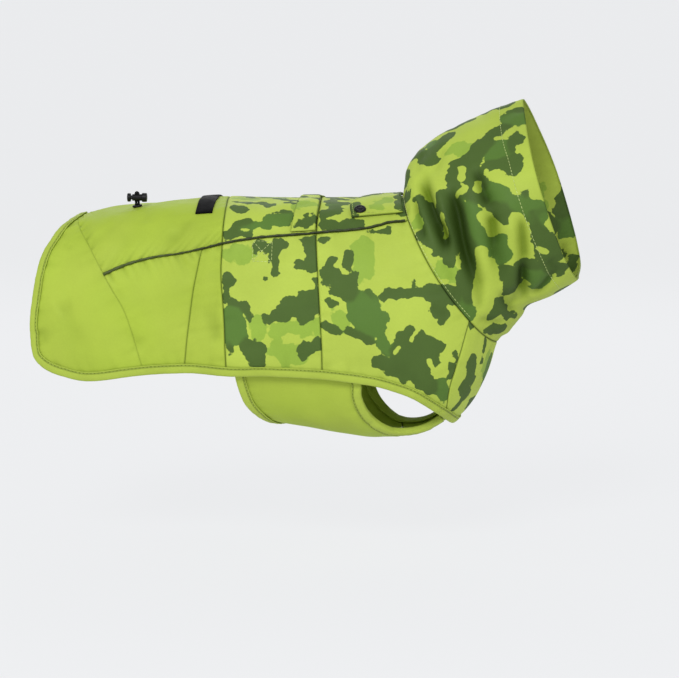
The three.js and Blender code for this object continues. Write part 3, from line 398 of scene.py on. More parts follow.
def tangents(ring, about, step=0.01):
    along = (bare_skin(ring + step, about) - bare_skin(ring - step, about)) / (2 * step)
    across = (bare_skin(ring, about + step) - bare_skin(ring, about - step)) / (2 * step)
    return along, across, unit(np.cross(along, across))


def line_distance(points, path):
    """Distance of each point from a path of points, and how far along it the nearest place is."""
    nearest = np.full(points.shape[:-1], np.inf)
    part = np.zeros(points.shape[:-1])
    pieces = max(len(path) - 1, 1)
    for index in range(pieces):
        start, step = path[index], path[min(index + 1, len(path) - 1)] - path[index]
        square = max(float(step @ step), 1e-9)
        share = np.clip(((points - start) @ step) / square, 0, 1)
        away = np.linalg.norm(points - start - share[..., None] * step, axis=-1)
        closer = away < nearest
        nearest = np.where(closer, away, nearest)
        part = np.where(closer, (index + share) / pieces, part)
    return nearest, part


def curve_places(line, side, ring_shift, count=9):
    """Places on the curve through a line's three places."""
    part = np.linspace(0, 1, count)
    weights = np.stack([2 * (part - 0.5) * (part - 1), -4 * part * (part - 1), 2 * part * (part - 0.5)])
    return weights.T @ np.array(line[0::2]) + ring_shift, side * (weights.T @ np.array(line[1::2]))


def fading(part):
    """1 along a fold, down to 0 at its two ends."""
    return blend(part, 0, FADE) * blend(1 - part, 0, FADE)


def fold_depth(ring, about, pitch):
    """Depth of the hood's largest folds, as in the frame. Pitch is the distance from ring to ring."""
    side_about = np.abs(about)
    left = np.asarray(about) > 0
    depth = np.zeros(np.shape(about))
    for up_ring, up, mid_ring, mid, low_ring, low, width, deep in FOLDS:
        part = (side_about - up) / (low - up)
        middle = (mid - up) / (low - up)
        bulge = mid_ring - (up_ring + (low_ring - up_ring) * middle)
        centre = up_ring + (low_ring - up_ring) * part
        centre = centre + bulge * part * (1 - part) / (middle * (1 - middle))
        away = (ring - centre - np.where(left, LEFT_RING_SHIFT, 0)) * pitch / width
        ends = fading(part) * ((part > 0) & (part < 1))
        depth = depth + deep * np.where(left, LEFT_DEPTH_SHARE, 1) * ends * np.exp(-away * away)
    return depth


def crease_depth(points):
    """Depth of the creases, less the height of the ridges."""
    depth = np.zeros(points.shape[:-1])
    for side, share, shift in ((RIGHT, 1, 0), (LEFT, LEFT_CREASE_SHARE, LEFT_RING_SHIFT / 2)):
        for *line, width, deep in CREASES:
            away, part = line_distance(points, bare_skin(*curve_places(line, side, shift)))
            depth += share * deep * fading(part) * np.exp(-((away / width) ** 2))
    return depth


# Weight of the painted shade at a depth in a hollow.
def darkness(depth, shade):
    full, weight, power = shade
    return weight * np.maximum(depth / full, 0) ** power


def painted_fold_shade(ring, about):
    """The painted shade of a place down in a fold or crease, from 0 to 1."""
    pitch = np.linalg.norm(tangents(ring, about)[0], axis=-1)
    broad = darkness(fold_depth(ring, about, pitch), FOLD_SHADE)
    sharp = darkness(crease_depth(bare_skin(ring, about)), CREASE_SHADE)
    return 1 - np.exp(-(broad + sharp))


def ripple(points, size, seed):
    """A soft uneven wave in space, from about -1 to 1."""
    draws = np.random.default_rng(seed)
    total = np.zeros(points.shape[:-1])
    for _ in range(6):
        direction = unit(draws.normal(size=3)) * draws.uniform(0.7, 1.5) * 2 * math.pi / size
        total += np.sin(points @ direction + draws.uniform(0, 2 * math.pi))
    return total / 3


def skin(ring, about, out=0.0):
    """The finished outer face, with folds, creases and the cloth's slight unevenness."""
    ring, about = np.broadcast_arrays(np.asarray(ring, float), np.asarray(about, float))
    along, _, normal = tangents(ring, about)
    bare = bare_skin(ring, about)
    depth = fold_depth(ring, about, np.linalg.norm(along, axis=-1)) + crease_depth(bare)
    relief = sum(height * ripple(bare, size, seed) for height, size, seed in RIPPLES)
    return bare + normal * (out - depth + relief)[..., None]


def tuck(ring, about):
    """How far the belly band lies inside the coat's outer face."""
    folded = np.where(np.abs(about) > 180, 360 - np.abs(about), np.abs(about))
    row = np.clip(np.searchsorted(TUCK[:, 0], folded) - 1, 0, len(TUCK) - 2)
    part = blend(folded, TUCK[row, 0], TUCK[row + 1, 0])
    side = TUCK[row, 1] + (TUCK[row + 1, 1] - TUCK[row, 1]) * part
    return side + CHEST_TUCK[2] * blend(ring, CHEST_TUCK[0], CHEST_TUCK[1])


# ---- places along seams ----
STEPS = 12  # places in each step of a seam
CLOSE_ROWS = np.array([0, 0.4, 0.9, 1.5, 2.3, 3.4])  # a panel's outermost rows, from its edge
LEAST_SINE = 0.4  # of the angle between a panel's lines and its edge
LEAST_STEP = 0.3  # between the places of a trimmed line
PUCKER_SPACINGS = (9.5, 14.0, 22.0)


def nodes(line, start, end, count):
    """Places along a seam between two named ones, in as many steps as in the frame."""
    names, places = line
    first, last = names.index(start), names.index(end)
    return smooth_rows(places, np.linspace(first, last, count * STEPS + 1))


def ring_nodes(ring, start, end, count):
    """Places round a ring, in steps as along a seam."""
    about = np.linspace(start, end, count * STEPS + 1)
    return np.stack([np.full_like(about, ring), about], -1)


def joined(*parts):
    return np.vstack([parts[0], *(part[1:] for part in parts[1:])])


def sided(places, side):
    return places * (1, side)


def both(line):
    return sided(line, RIGHT), sided(line, LEFT)


def over(half):
    """From a right place over the crest to its left twin."""
    return joined(sided(half, RIGHT)[::-1], sided(half, LEFT))


def to_far_side(line):
    """A line on the right, and its left twin as it is reached from under the belly."""
    return sided(line, RIGHT), line - (0, UNDER_BELLY)


def beneath(half):
    """From a right place under the belly to its left twin."""
    right, left = to_far_side(half)
    return joined(right, left[::-1])


def smoothed(places):
    """A smooth path through the places of a short table."""
    last = len(places) - 1
    return smooth_rows(places, np.linspace(0, last, last * STEPS + 1))


def path_lengths(points):
    """Length along a path at each of its points."""
    return np.concatenate([[0], np.cumsum(np.linalg.norm(np.diff(points, axis=0), axis=-1))])


def edge_lengths(edge):
    """Length over the coat at each place of an edge."""
    return path_lengths(bare_skin(edge[:, 0], edge[:, 1]))


def at_length(where, lengths, values):
    """A path's values at lengths along it."""
    return np.stack([np.interp(where, lengths, column) for column in values.T], -1)


def trimmed(edge, start, end):
    """Cuts a distance off each end of an edge."""
    lengths = edge_lengths(edge)
    last = lengths[-1] - end
    inner = (lengths > start + LEAST_STEP) & (lengths < last - LEAST_STEP)
    return at_length(np.concatenate([[start], lengths[inner], [last]]), lengths, edge)


def at_part(side, part):
    """The place at a part of a side, from 0 to 1."""
    return at_length(np.clip(part, 0, 1) * (len(side) - 1), np.arange(len(side)), side)


def net_places(sides, u, v):
    """Places inside four sides. Right and left run from the rear to the front."""
    right, left, rear, front = sides
    u, v = np.broadcast_arrays(u, v)
    near, far = u[..., None], v[..., None]
    ruled = (1 - far) * at_part(right, u) + far * at_part(left, u)
    ruled = ruled + (1 - near) * at_part(rear, v) + near * at_part(front, v)
    ends = (1 - near) * ((1 - far) * right[0] + far * left[0])
    return ruled - ends - near * ((1 - far) * right[-1] + far * left[-1])


def spaced(length, pitch):
    """Even parts of a length, closer together by its two ends."""
    reach = CLOSE_ROWS[-1]
    inner = length - 2 * reach
    if inner < 2 * pitch:
        return np.linspace(0, 1, max(int(length), 2) + 1)
    middle = np.linspace(reach, length - reach, int(inner / pitch) + 1)
    return np.concatenate([CLOSE_ROWS[:-1], middle, length - CLOSE_ROWS[-2::-1]]) / length


def edge_shares(points, inset, places):
    """What share of each line an inset at its start takes, measured square to the edge."""
    step = np.linalg.norm(points[1] - points[0], axis=-1) * (len(points) - 1)
    along = np.gradient(points[0], axis=0)
    sine = np.linalg.norm(np.cross(unit(along), unit(points[1] - points[0])), axis=-1)
    distance = inset(places) if callable(inset) else inset
    return distance / (step * np.maximum(sine, LEAST_SINE))


def dot(first, second):
    return (first * second).sum(-1)


def walk(places, direction, distance):
    """From places, a distance over the skin in a direction."""
    along, across, _ = tangents(places[:, 0], places[:, 1])
    aa, ab, bb = dot(along, along), dot(along, across), dot(across, across)
    ad, bd = dot(along, direction), dot(across, direction)
    scale = distance / (aa * bb - ab * ab)
    return np.stack([places[:, 0] + (bb * ad - ab * bd) * scale,
                     places[:, 1] + (aa * bd - ab * ad) * scale], -1)


def inward(edge, inside):
    """Directions over the cloth, square to an edge. Inside is 1 where the cloth lies to its left."""
    before = bare_skin(*np.vstack([edge[:1], edge[:-1]]).T)
    after = bare_skin(*np.vstack([edge[1:], edge[-1:]]).T)
    normal = tangents(edge[:, 0], edge[:, 1])[2]
    return unit(np.cross(normal, after - before)) * inside


def line_on(places, out, under=None):
    """Points and normals of a line on the cloth."""
    depth = under(places[:, 0], places[:, 1]) if under else 0
    return skin(places[:, 0], places[:, 1], out - depth), tangents(places[:, 0], places[:, 1])[2]


def line_beside(edge, inside, distance, out, under=None):
    """A line at a distance in from an edge."""
    return line_on(walk(edge, inward(edge, inside), distance), out, under)


def wave(length, seed):
    """An uneven pucker along a seam, from about -1 to 1."""
    draws = np.random.default_rng(seed)
    total = 0
    for spacing in PUCKER_SPACINGS:
        drift = 1.5 * np.sin(length / (spacing * 4.3) + draws.uniform(0, 6))
        total = total + np.sin(2 * math.pi * length / spacing + drift + draws.uniform(0, 6))
    return total / 2


# ---- meshes ----
SEAM_ROLL = 0.9  # how far a panel dips at a seam
FAINT_ROLL = 0.25  # the same along the tail's gusset
ROLL_REACH = 2.2  # in from a panel's edge
EDGE_LINE = 0.75  # width of the painted shade line along an edge
PIPED_PUCKER = 1.3  # of the cloth drawn up by the piping's stitches
# How far a pucker reaches in from its edge, and how much closer its waves are than a plain seam's.
TIGHT_PUCKER = (6, 1.45)
LOOSE_PUCKER = (9, 1)
# Painted shade in the hollows of a pucker.
PUCKER_SHADE = 0.4
CELLS = 40  # of the coarse net by which a panel is measured
CRISP = math.radians(35)  # the least turn of an edge that stays sharp


def mesh_from(work, name):
    """Makes a mesh of a bmesh and frees it."""
    mesh = bpy.data.meshes.new(name)
    work.to_mesh(mesh)
    work.free()
    return mesh


def placed_mesh(work, name, place):
    """Makes a mesh of a bmesh in millimetres, moved to its place by a matrix."""
    bmesh.ops.transform(work, matrix=Matrix.Scale(MM, 4) @ place, verts=work.verts)
    return mesh_from(work, name)


def grid_mesh(name, points):
    """A mesh grid with its vertices at the points (rows, columns, xyz), in millimetres."""
    rows, columns = points.shape[:2]
    work = bmesh.new()
    bmesh.ops.create_grid(work, x_segments=columns - 1, y_segments=rows - 1, size=0.5)
    mesh = mesh_from(work, name)
    spots = np.empty(len(mesh.vertices) * 3)
    mesh.vertices.foreach_get("co", spots)
    spots = spots.reshape(-1, 3) + 0.5
    column = np.rint(spots[:, 0] * (columns - 1)).astype(int)
    row = np.rint(spots[:, 1] * (rows - 1)).astype(int)
    mesh.vertices.foreach_set("co", (points[row, column] * MM).ravel())
    mesh.update()
    return mesh, (row, column)


def add_uv(mesh, uv):
    corner = np.empty(len(mesh.loops), int)
    mesh.loops.foreach_get("vertex_index", corner)
    mesh.uv_layers.new(name="UVMap").data.foreach_set("uv", uv[corner].astype(float).ravel())


def add_values(mesh, name, values):
    kind, key = ("FLOAT", "value") if values.ndim == 1 else ("FLOAT_VECTOR", "vector")
    mesh.attributes.new(name, kind, "POINT").data.foreach_set(key, values.astype(float).ravel())


def new_piece(mesh, key, slot=None, body="coat", stands_for=()):
    """Makes a mesh a piece of the coat, with the key's material. The slot that may be named is not used.
    """
    slot = slot or key
    mesh.shade_smooth()
    piece = bpy.data.objects.new(mesh.name, mesh)
    bpy.context.scene.collection.objects.link(piece)
    mesh.materials.append(MATERIALS[key])
    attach(piece, body)
    if stands_for:
        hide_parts(*stands_for)
    return piece


def arc_lengths(points):
    """Length along the columns and along the rows of a net of points."""
    down = np.zeros(points.shape[:2])
    down[1:] = np.cumsum(np.linalg.norm(np.diff(points, axis=0), axis=-1), axis=0)
    across = np.zeros(points.shape[:2])
    across[:, 1:] = np.cumsum(np.linalg.norm(np.diff(points, axis=1), axis=-1), axis=1)
    return down, across


def print_fields(family, points):
    """How far inside each tone's marks every point lies, in millimetres."""
    low, high = PRINT_RINGS[family]
    fields = {}
    for tone in TONES:
        inside = np.full(points.shape[:-1], NO_MARK)
        grows = family == "hood" and tone in ("mid", "dark")
        for ring, about, to_ring, to_about, radius in PRINT[family][tone]:
            for side in SIDES:
                rings = np.array([ring, to_ring])
                if side == LEFT:
                    rings = low + high - rings
                path = bare_skin(rings, side * np.array([about, to_about]))
                growth = HOOD_GROWTH[side] if grows else 0
                inside = np.maximum(inside, radius + growth - line_distance(points, path)[0])
        fields[tone] = inside
    return fields


def panel_places(sides, insets, pitch):
    """Places over a panel, set in from its right, left, rear and front sides and closer by them."""
    steps = np.linspace(0, 1, CELLS + 1)
    places = net_places(sides, steps[:, None], steps[None, :])
    coarse = bare_skin(places[..., 0], places[..., 1])
    down, across = arc_lengths(coarse)
    u = spaced(down[-1].max(), pitch)
    v = spaced(across[:, -1].max(), pitch)
    flipped = coarse.transpose(1, 0, 2)
    lines = (flipped, flipped[::-1], coarse, coarse[::-1])
    borders = (places[:, 0], places[:, -1], places[0], places[-1])
    shares = [edge_shares(*each) for each in zip(lines, insets, borders)]
    right, left = (np.interp(u, steps, share)[:, None] for share in shares[:2])
    rear, front = (np.interp(v, steps, share)[None, :] for share in shares[2:])
    u = rear + u[:, None] * (1 - rear - front)
    v = right + v[None, :] * (1 - right - left)
    return net_places(sides, u, v)


def edge_relief(places, down, across, rolls, puckers, seed):
    """A panel's rise by its four edges, the part of it that is pucker, and the painted shade along its
    edges.
    """
    away = (across, across[:, -1:] - across, down, down[-1:] - down)
    lengths = (down, down, across, across)
    borders = (places[:, :1], places[:, -1:], places[:1], places[-1:])
    rise, pucker, edge = (np.zeros(down.shape) for _ in range(3))
    for k, (far, length, roll, height) in enumerate(zip(away, lengths, rolls, puckers)):
        roll = roll(borders[k]) if callable(roll) else roll
        rise -= roll * np.maximum(1 - far / ROLL_REACH, 0) ** 2
        edge = np.maximum(edge, roll * np.exp(-((far / EDGE_LINE) ** 2)))
        reach, pace = TIGHT_PUCKER if height >= PIPED_PUCKER else LOOSE_PUCKER
        swell = np.exp(-far / reach) * blend(far, 0, ROLL_REACH)
        pucker += height * swell * wave(length * pace, seed + 7 * k)
    return rise + pucker, pucker, edge


def build_panel(name, node, sides, key, family=None, insets=(0,) * 4, rolls=(SEAM_ROLL,) * 4,
                puckers=(0.2,) * 4, out=0.0, wall=WALL, under=None,
                pitch=None):
    """A panel of cloth. Its sides, insets, rolls and puckers are for the right, left, rear and front."""
    pitch = pitch or bpy.context.scene.raincoat_sizes.pitch / MM
    places = panel_places(sides, insets, pitch)
    ring, about = places[..., 0], places[..., 1]
    bare = bare_skin(ring, about)
    down, across = arc_lengths(bare)
    rise, pucker, edge = edge_relief(places, down, across, rolls, puckers, len(name))
    points = skin(ring, about, out + rise - (under(ring, about) if under else 0))
    mesh, (row, column) = grid_mesh(name, points)
    if mesh.polygons[0].normal @ Vector(tangents(ring[0, 0], about[0, 0])[2]) < 0:
        mesh.flip_normals()

    middle = ring.shape[1] // 2
    add_uv(mesh, np.stack([across - across[:, middle:middle + 1], down], -1)[row, column] * MM)
    # Painted shade: a dark line along the seams, darker down in folds, creases and pucker hollows, and a
    # little darker over the whole hood.
    add_values(mesh, "edge", edge[row, column])
    shade = painted_fold_shade(ring, about) + PUCKER_SHADE * np.maximum(-pucker, 0)
    shade = np.minimum(shade + (HOOD_SHADE if family == "hood" else 0), 1)
    add_values(mesh, "painted_fold_shade", shade[row, column])
    if family:
        # Each panel's print is shifted by its name, so that no two are cut alike.
        shift = np.array([len(name) * 0.31, sum(map(ord, name)) * 0.017, 0.0])
        add_values(mesh, "print", bare[row, column] * MM + shift)
        for tone, field in print_fields(family, bare).items():
            add_values(mesh, "print_" + tone, field[row, column])

    piece = new_piece(mesh, key, stands_for=(node,))
    shell = piece.modifiers.new("Cloth wall", "SOLIDIFY")
    shell.thickness = wall * MM
    shell.offset = -1


def sweep_points(edge, section, inside, under=None, rise=None, spread=1.0):
    """Points of a section of (distance, height) pairs, swept along an edge."""
    direction = inward(edge, inside)
    columns = []
    for k, (distance, height) in enumerate(section):
        spot = walk(edge, direction, distance * spread)
        depth = under(spot[:, 0], spot[:, 1]) if under else 0
        more = rise[:, k] if rise is not None else 0
        columns.append(skin(spot[:, 0], spot[:, 1], height - depth + more))
    return np.stack(columns, 1)


def closed_sweep(name, points, edge=None):
    """A closed tube through points whose last column meets the first, with its two ends capped."""
    looped = np.concatenate([points, points[:, :1]], axis=1)
    mesh, (row, column) = grid_mesh(name, looped)
    down, across = arc_lengths(looped)
    add_uv(mesh, np.stack([across, down[:, :1] + 0 * down], -1)[row, column] * MM)
    # Edge values, where given, are painted shade along the tube.
    if edge is not None:
        add_values(mesh, "edge", np.append(edge, edge[0])[column])
    work = bmesh.new()
    work.from_mesh(mesh)
    bmesh.ops.remove_doubles(work, verts=work.verts, dist=1e-7)
    bmesh.ops.holes_fill(work, edges=[e for e in work.edges if e.is_boundary], sides=0)
    bmesh.ops.recalc_face_normals(work, faces=work.faces)
    work.to_mesh(mesh)
    work.free()
    return mesh


def tape_section():
    """Tape folded over an edge, with a stitched channel by its inner rim."""
    width, top = BINDING_WIDTH, LIFT + TAPE
    slot_low = -WALL - BINDING_SLACK
    low = slot_low - TAPE
    return [
        (width, LIFT + 0.1), (width, top - 0.35), (width - 0.35, top - 0.05), (width - 0.9, top - 0.05),
        (width - 1.4, top - 0.4), (width - 1.9, top - 0.1), (width - 2.6, top + 0.1),
        (5.0, top + 0.25), (3.4, top + 0.3), (2.0, top + 0.2), (0.9, top - 0.1), (0.2, top - 0.8),
        (-0.05, LIFT - 0.6), (-0.05, low + 1.6), (0.2, low + 0.8), (0.9, low + 0.15), (2.0, low),
        (width - 0.4, low), (width, low + 0.2), (width, slot_low - 0.05), (width - 0.6, slot_low),
        (1.6, slot_low), (1.05, slot_low + 0.5), (1.05, LIFT - 0.4), (1.5, LIFT), (width - 0.6, LIFT),
    ]


def build_binding(name, edge, inside, node, under=None, seed=1):
    """Tape sewn over an edge, a little puckered, with painted shade in its stitched channel."""
    section = tape_section()
    lengths = edge_lengths(edge)
    distance, height = np.array(section).T
    outer = height > 0
    swell = outer * np.exp(-((distance - 4.2) / 2.6) ** 2)
    rise = 0.22 * wave(lengths, seed)[:, None] * swell
    rise = rise + 0.12 * wave(lengths * 1.7, seed + 9)[:, None] * outer
    # Painted shade down the stitched channel.
    channel = outer * np.exp(-(((distance - BINDING_WIDTH + BINDING_STITCH) / 0.7) ** 2))
    mesh = closed_sweep(name, sweep_points(edge, section, inside, under, rise), channel)
    new_piece(mesh, "binding", stands_for=(node,))


def stitch_template():
    """Points and faces of a stitch with a radius of 1, its thread along X."""
    work = bmesh.new()
    bmesh.ops.create_uvsphere(work, u_segments=6, v_segments=4, radius=1.0)
    turn = Matrix.Rotation(math.pi / 2, 3, "Y")
    bmesh.ops.rotate(work, verts=work.verts, cent=(0, 0, 0), matrix=turn)
    points = np.array([vertex.co for vertex in work.verts])
    faces = [[vertex.index for vertex in face.verts] for face in work.faces]
    work.free()
    return points, faces


def build_stitches(name, lines, key):
    """Stitches along lines of (points, normals), each in millimetres, as one mesh."""
    sizes = bpy.context.scene.raincoat_sizes
    stitch, gap, thread = sizes.stitch / MM, sizes.stitch_gap / MM, sizes.thread / MM
    template, faces = stitch_template()
    spots, polygons = [], []
    for points, normals in lines:
        lengths = path_lengths(points)
        for index in range(int((lengths[-1] + gap) / (stitch + gap))):
            start = index * (stitch + gap) + gap / 2
            head, tail = (at_length(where, lengths, points) for where in (start, start + stitch))
            ahead = unit(tail - head)
            up = at_length(start + stitch / 2, lengths, normals)
            up = unit(up - ahead * (up @ ahead))
            basis = np.stack([ahead * stitch / 2, np.cross(up, ahead) * thread / 2, up * thread * 0.42])
            polygons.extend([[corner + len(spots) * len(template) for corner in face] for face in faces])
            spots.append(template @ basis + (head + tail) / 2)
    mesh = bpy.data.meshes.new(name)
    mesh.from_pydata(np.vstack(spots) * MM, [], polygons)
    mesh.update()
    new_piece(mesh, key, slot="binding")


# ---- materials ----
def add(tree, kind, inputs=None, **settings):
    """A shader node with its inputs, each a value or another node's output."""
    made = tree.nodes.new("ShaderNode" + kind)
    for key, value in settings.items():
        setattr(made, key, value)
    for key, value in (inputs or {}).items():
        if isinstance(value, bpy.types.NodeSocket):
            tree.links.new(value, made.inputs[key])
        else:
            made.inputs[key].default_value = value
    return made


def calc(tree, operation, *values):
    return add(tree, "Math", dict(enumerate(values)), operation=operation).outputs[0]


def noise(tree, where, size, detail=2.0, roughness=0.5):
    """Noise with features of a size in millimetres."""
    inputs = {"Vector": where, "Scale": 1 / (size * MM), "Detail": detail, "Roughness": roughness}
    return add(tree, "TexNoise", inputs).outputs[0]


def ramp(tree, value, low, high, to_low=0.0, to_high=1.0):
    inputs = {"Value": value, "From Min": low, "From Max": high, "To Min": to_low, "To Max": to_high}
    return add(tree, "MapRange", inputs, interpolation_type="SMOOTHSTEP").outputs[0]


def mix(tree, factor, first, second, mode="MIX"):
    made = add(tree, "Mix", {0: factor, 6: first, 7: second}, data_type="RGBA", blend_type=mode)
    return made.outputs[2]


def attribute(tree, name, output="Fac"):
    return add(tree, "Attribute", attribute_name=name).outputs[output]


def rgba(colour):
    return (*colour, 1.0)


def object_place(tree):
    return add(tree, "TexCoord").outputs["Object"]


def start_material(name):
    material = bpy.data.materials.new(name)
    material.use_nodes = True
    material.node_tree.nodes.clear()
    return material, material.node_tree


def finish_material(tree, colour, roughness, height, distance, settings):
    """Joins colour, roughness and bump to the surface. The settings are constants on the shader."""
    bump = add(tree, "Bump", {"Strength": 1.0, "Distance": distance * MM, "Height": height}).outputs[0]
    inputs = {"Base Color": colour, "Roughness": roughness, "Normal": bump, **settings}
    shader = add(tree, "BsdfPrincipled", inputs)
    add(tree, "OutputMaterial", {"Surface": shader.outputs[0]})


def flat_axes(tree):
    """The two axes of a piece's flat map."""
    flat = add(tree, "UVMap", uv_map="UVMap").outputs[0]
    return add(tree, "SeparateXYZ", {0: flat}).outputs[:2]


def stripes(tree, axis, spacing):
    """A sine wave along an axis, its spacing in millimetres."""
    return calc(tree, "SINE", calc(tree, "MULTIPLY", axis, 2 * math.pi / (spacing * MM)))


def weave_height(tree, pitch):
    """Plain weave on the flat map: threads over and under each other."""
    return calc(tree, "MULTIPLY", *(stripes(tree, axis, 2 * pitch) for axis in flat_axes(tree)))


def painted_shade(tree, name, colour, tint):
    """Painted shade: a colour darkened by a tint where an attribute of the piece is high."""
    return mix(tree, attribute(tree, name), colour, rgba(tint), "MULTIPLY")


def shell_cloth(name, base_colour):
    """Smooth waterproof shell cloth over a base colour, which a function makes in its tree."""
    material, tree = start_material(name)
    where = object_place(tree)
    broad = ramp(tree, noise(tree, where, 60, 3), 0.3, 0.7, 0.93, 1.04)
    fine = ramp(tree, noise(tree, where, 1.4, 2), 0.3, 0.7, -0.015, 0.015)
    shade = calc(tree, "ADD", broad, fine)
    grey = add(tree, "CombineColor", {0: shade, 1: shade, 2: shade}).outputs[0]
    colour = mix(tree, 1.0, base_colour(tree), grey, "MULTIPLY")
    # Painted shade: darker down in folds and creases, and along the seams.
    colour = painted_shade(tree, "painted_fold_shade", colour, (0.3, 0.36, 0.1))
    colour = painted_shade(tree, "edge", colour, (0.2, 0.24, 0.12))
    weave = weave_height(tree, bpy.context.scene.raincoat_sizes.weave / MM)
    crinkle = calc(tree, "MULTIPLY", noise(tree, where, 7, 4, 0.55), 3.0)
    height = calc(tree, "ADD", calc(tree, "MULTIPLY", weave, 0.5), crinkle)
    rough = ramp(tree, noise(tree, where, 18, 3), 0.3, 0.7, 0.56, 0.68)
    finish_material(tree, colour, rough, height, 0.05,
                    {"Sheen Weight": 0.02, "Sheen Roughness": 0.4, "Specular IOR Level": 0.16})
    return material


def plain_colour(tree):
    """Lime, a little warmer in broad patches."""
    shades = bpy.context.scene.raincoat_colours
    patch = noise(tree, object_place(tree), 90, 2)
    warm = [c * f for c, f in zip(shades.lime, (0.94, 0.98, 0.82))]
    return mix(tree, ramp(tree, patch, 0.35, 0.65), rgba(warm), rgba(shades.lime))


def lobes(tree, where, size, detail, amount, roughness=0.5):
    """Noise about 0, which makes the edges of the print's marks ragged."""
    centred = calc(tree, "SUBTRACT", noise(tree, where, size, detail, roughness), 0.5)
    return calc(tree, "MULTIPLY", centred, amount)


def print_colour(tree):
    """The camouflage print: ragged masses of greens on lime, from the marks' fields and noise."""
    shades = bpy.context.scene.raincoat_colours
    where = attribute(tree, "print", "Vector")
    field = {tone: attribute(tree, "print_" + tone) for tone in TONES}
    ragged = calc(tree, "ADD", lobes(tree, where, 10, 0.6, 11.0), lobes(tree, where, 4.4, 1.6, 5.2, 0.6))

    green = calc(tree, "ADD", calc(tree, "MAXIMUM", field["mid"], field["dark"]), ragged)
    cut = calc(tree, "SUBTRACT", calc(tree, "MULTIPLY", ragged, 0.5), field["light"])
    green = calc(tree, "MINIMUM", calc(tree, "ADD", green, 0.9), cut)
    darker = calc(tree, "SUBTRACT", field["dark"], calc(tree, "MULTIPLY", field["mid"], 0.6))
    darker = calc(tree, "ADD", darker, lobes(tree, where, 20, 2.0, 16.0))
    soft = calc(tree, "ADD", field["soft"], calc(tree, "MULTIPLY", ragged, 1.2))
    soft = calc(tree, "ADD", soft, 1.5)

    base = mix(tree, ramp(tree, soft, -0.6, 0.6), rgba(shades.print_light), rgba(shades.print_soft))
    greens = mix(tree, ramp(tree, darker, -3.5, 3.0), rgba(shades.print_mid), rgba(shades.print_dark))
    return mix(tree, ramp(tree, green, -0.35, 0.35), base, greens)


def tape_material(name, colour, dark_share, rib=0.8, gloss=0.18):
    """Ribbed tape: binding, with a slightly uneven dye and a soft gloss."""
    material, tree = start_material(name)
    where = object_place(tree)
    dim = [c * dark_share for c in colour]
    tint = mix(tree, ramp(tree, noise(tree, where, 25, 3), 0.3, 0.7), rgba(dim), rgba(colour))
    # Painted shade along the tape's stitched channel and edges.
    tint = painted_shade(tree, "edge", tint, (0.3, 0.34, 0.15))
    ribs = calc(tree, "MULTIPLY", stripes(tree, flat_axes(tree)[1], rib), 0.6)
    height = calc(tree, "ADD", ribs, calc(tree, "MULTIPLY", noise(tree, where, 5, 3), 2.5))
    rough = ramp(tree, noise(tree, where, 12, 2), 0.3, 0.7, 0.55, 0.7)
    settings = {"Sheen Weight": gloss / 6, "Specular IOR Level": gloss}
    finish_material(tree, tint, rough, height, 0.06, settings)
    return material


def gloss_material(name, colour, rough, bump_size, bump, settings, front_share=1.0):
    """Moulded plastic, coated piping, cord or thread. It may darken from the tail to the front, its paler
    tail end a painted reflection of the lime cloth.
    """
    material, tree = start_material(name)
    where = object_place(tree)
    pale = [min(c * 1.6 + 0.004, 1) for c in colour]
    tint = mix(tree, ramp(tree, noise(tree, where, 6, 3), 0.4, 0.8), rgba(colour), rgba(pale))
    # Painted reflection: the paler tail end stands for the lime cloth reflected in the piping.
    if front_share < 1:
        forward = ramp(tree, add(tree, "SeparateXYZ", {0: where}).outputs[0], -0.13, -0.07)
        tint = mix(tree, forward, tint, rgba((front_share,) * 3), "MULTIPLY")
    roughness = ramp(tree, noise(tree, where, 2.5, 3), 0.3, 0.7, *rough)
    finish_material(tree, tint, roughness, noise(tree, where, bump_size, 2), bump, settings)
    return material


MATERIALS = {}


def make_materials():
    shades = bpy.context.scene.raincoat_colours
    thread = {"rough": (0.5, 0.65), "bump_size": 0.4, "bump": 0.03, "settings": {"Sheen Weight": 0.2}}
    MATERIALS.update(
        lime=shell_cloth("Lime shell cloth", plain_colour),
        camo=shell_cloth("Printed shell cloth", print_colour),
        binding=tape_material("Binding tape", shades.binding, 0.93),
        label=tape_material("Woven label", shades.label, 0.6, 0.5, 0.05),
        # The piping's paler tail end is painted reflection of the lime cloth beside it.
        piping=gloss_material("Coated piping", shades.piping, (0.42, 0.56), 1.6, 0.08,
                              {"Specular IOR Level": 0.4}, front_share=0.4),
        plastic=gloss_material("Moulded plastic", shades.plastic, (0.34, 0.48), 0.5, 0.01,
                               {"Specular IOR Level": 0.25}),
        cord=gloss_material("Braided cord", shades.cord, (0.6, 0.8), 0.7, 0.12,
                            {"Specular IOR Level": 0.1}),
        thread=gloss_material("Thread", shades.thread, **thread),
        pale_thread=gloss_material("Pale thread", shades.pale_thread, **thread),
    )


# ---- pieces ----
# The frame's number of steps along each stretch of a seam.
COUNT = {
    "gusset_top": 1, "gusset_high": 5, "gusset_low": 6, "hem_corner": 4, "to_slant": 5, "to_camo": 2,
    "to_yoke": 5, "to_neck": 10, "back": 5, "neck_yoke": 5, "neck_shoulder": 8, "neck_chest": 5,
    "chest_seam": 5, "strap": 4,
}
TO_HEM = (0, PANEL_TO_HEM, 0, 0)


def stretch(line, start, end, *steps):
    """Places along a seam between two named ones, in the frame's steps."""
    return nodes(line, start, end, sum(COUNT[key] for key in steps))


def back_to(line, steps="back"):
    return over(stretch(line, "crest", "piping", steps))


def faint_gusset(places):
    """The roll of the cloth at a seam: faint along the gusset, full from the piping's start."""
    return np.where(places[..., 0] < PIPED[1][0, 0], FAINT_ROLL, SEAM_ROLL)


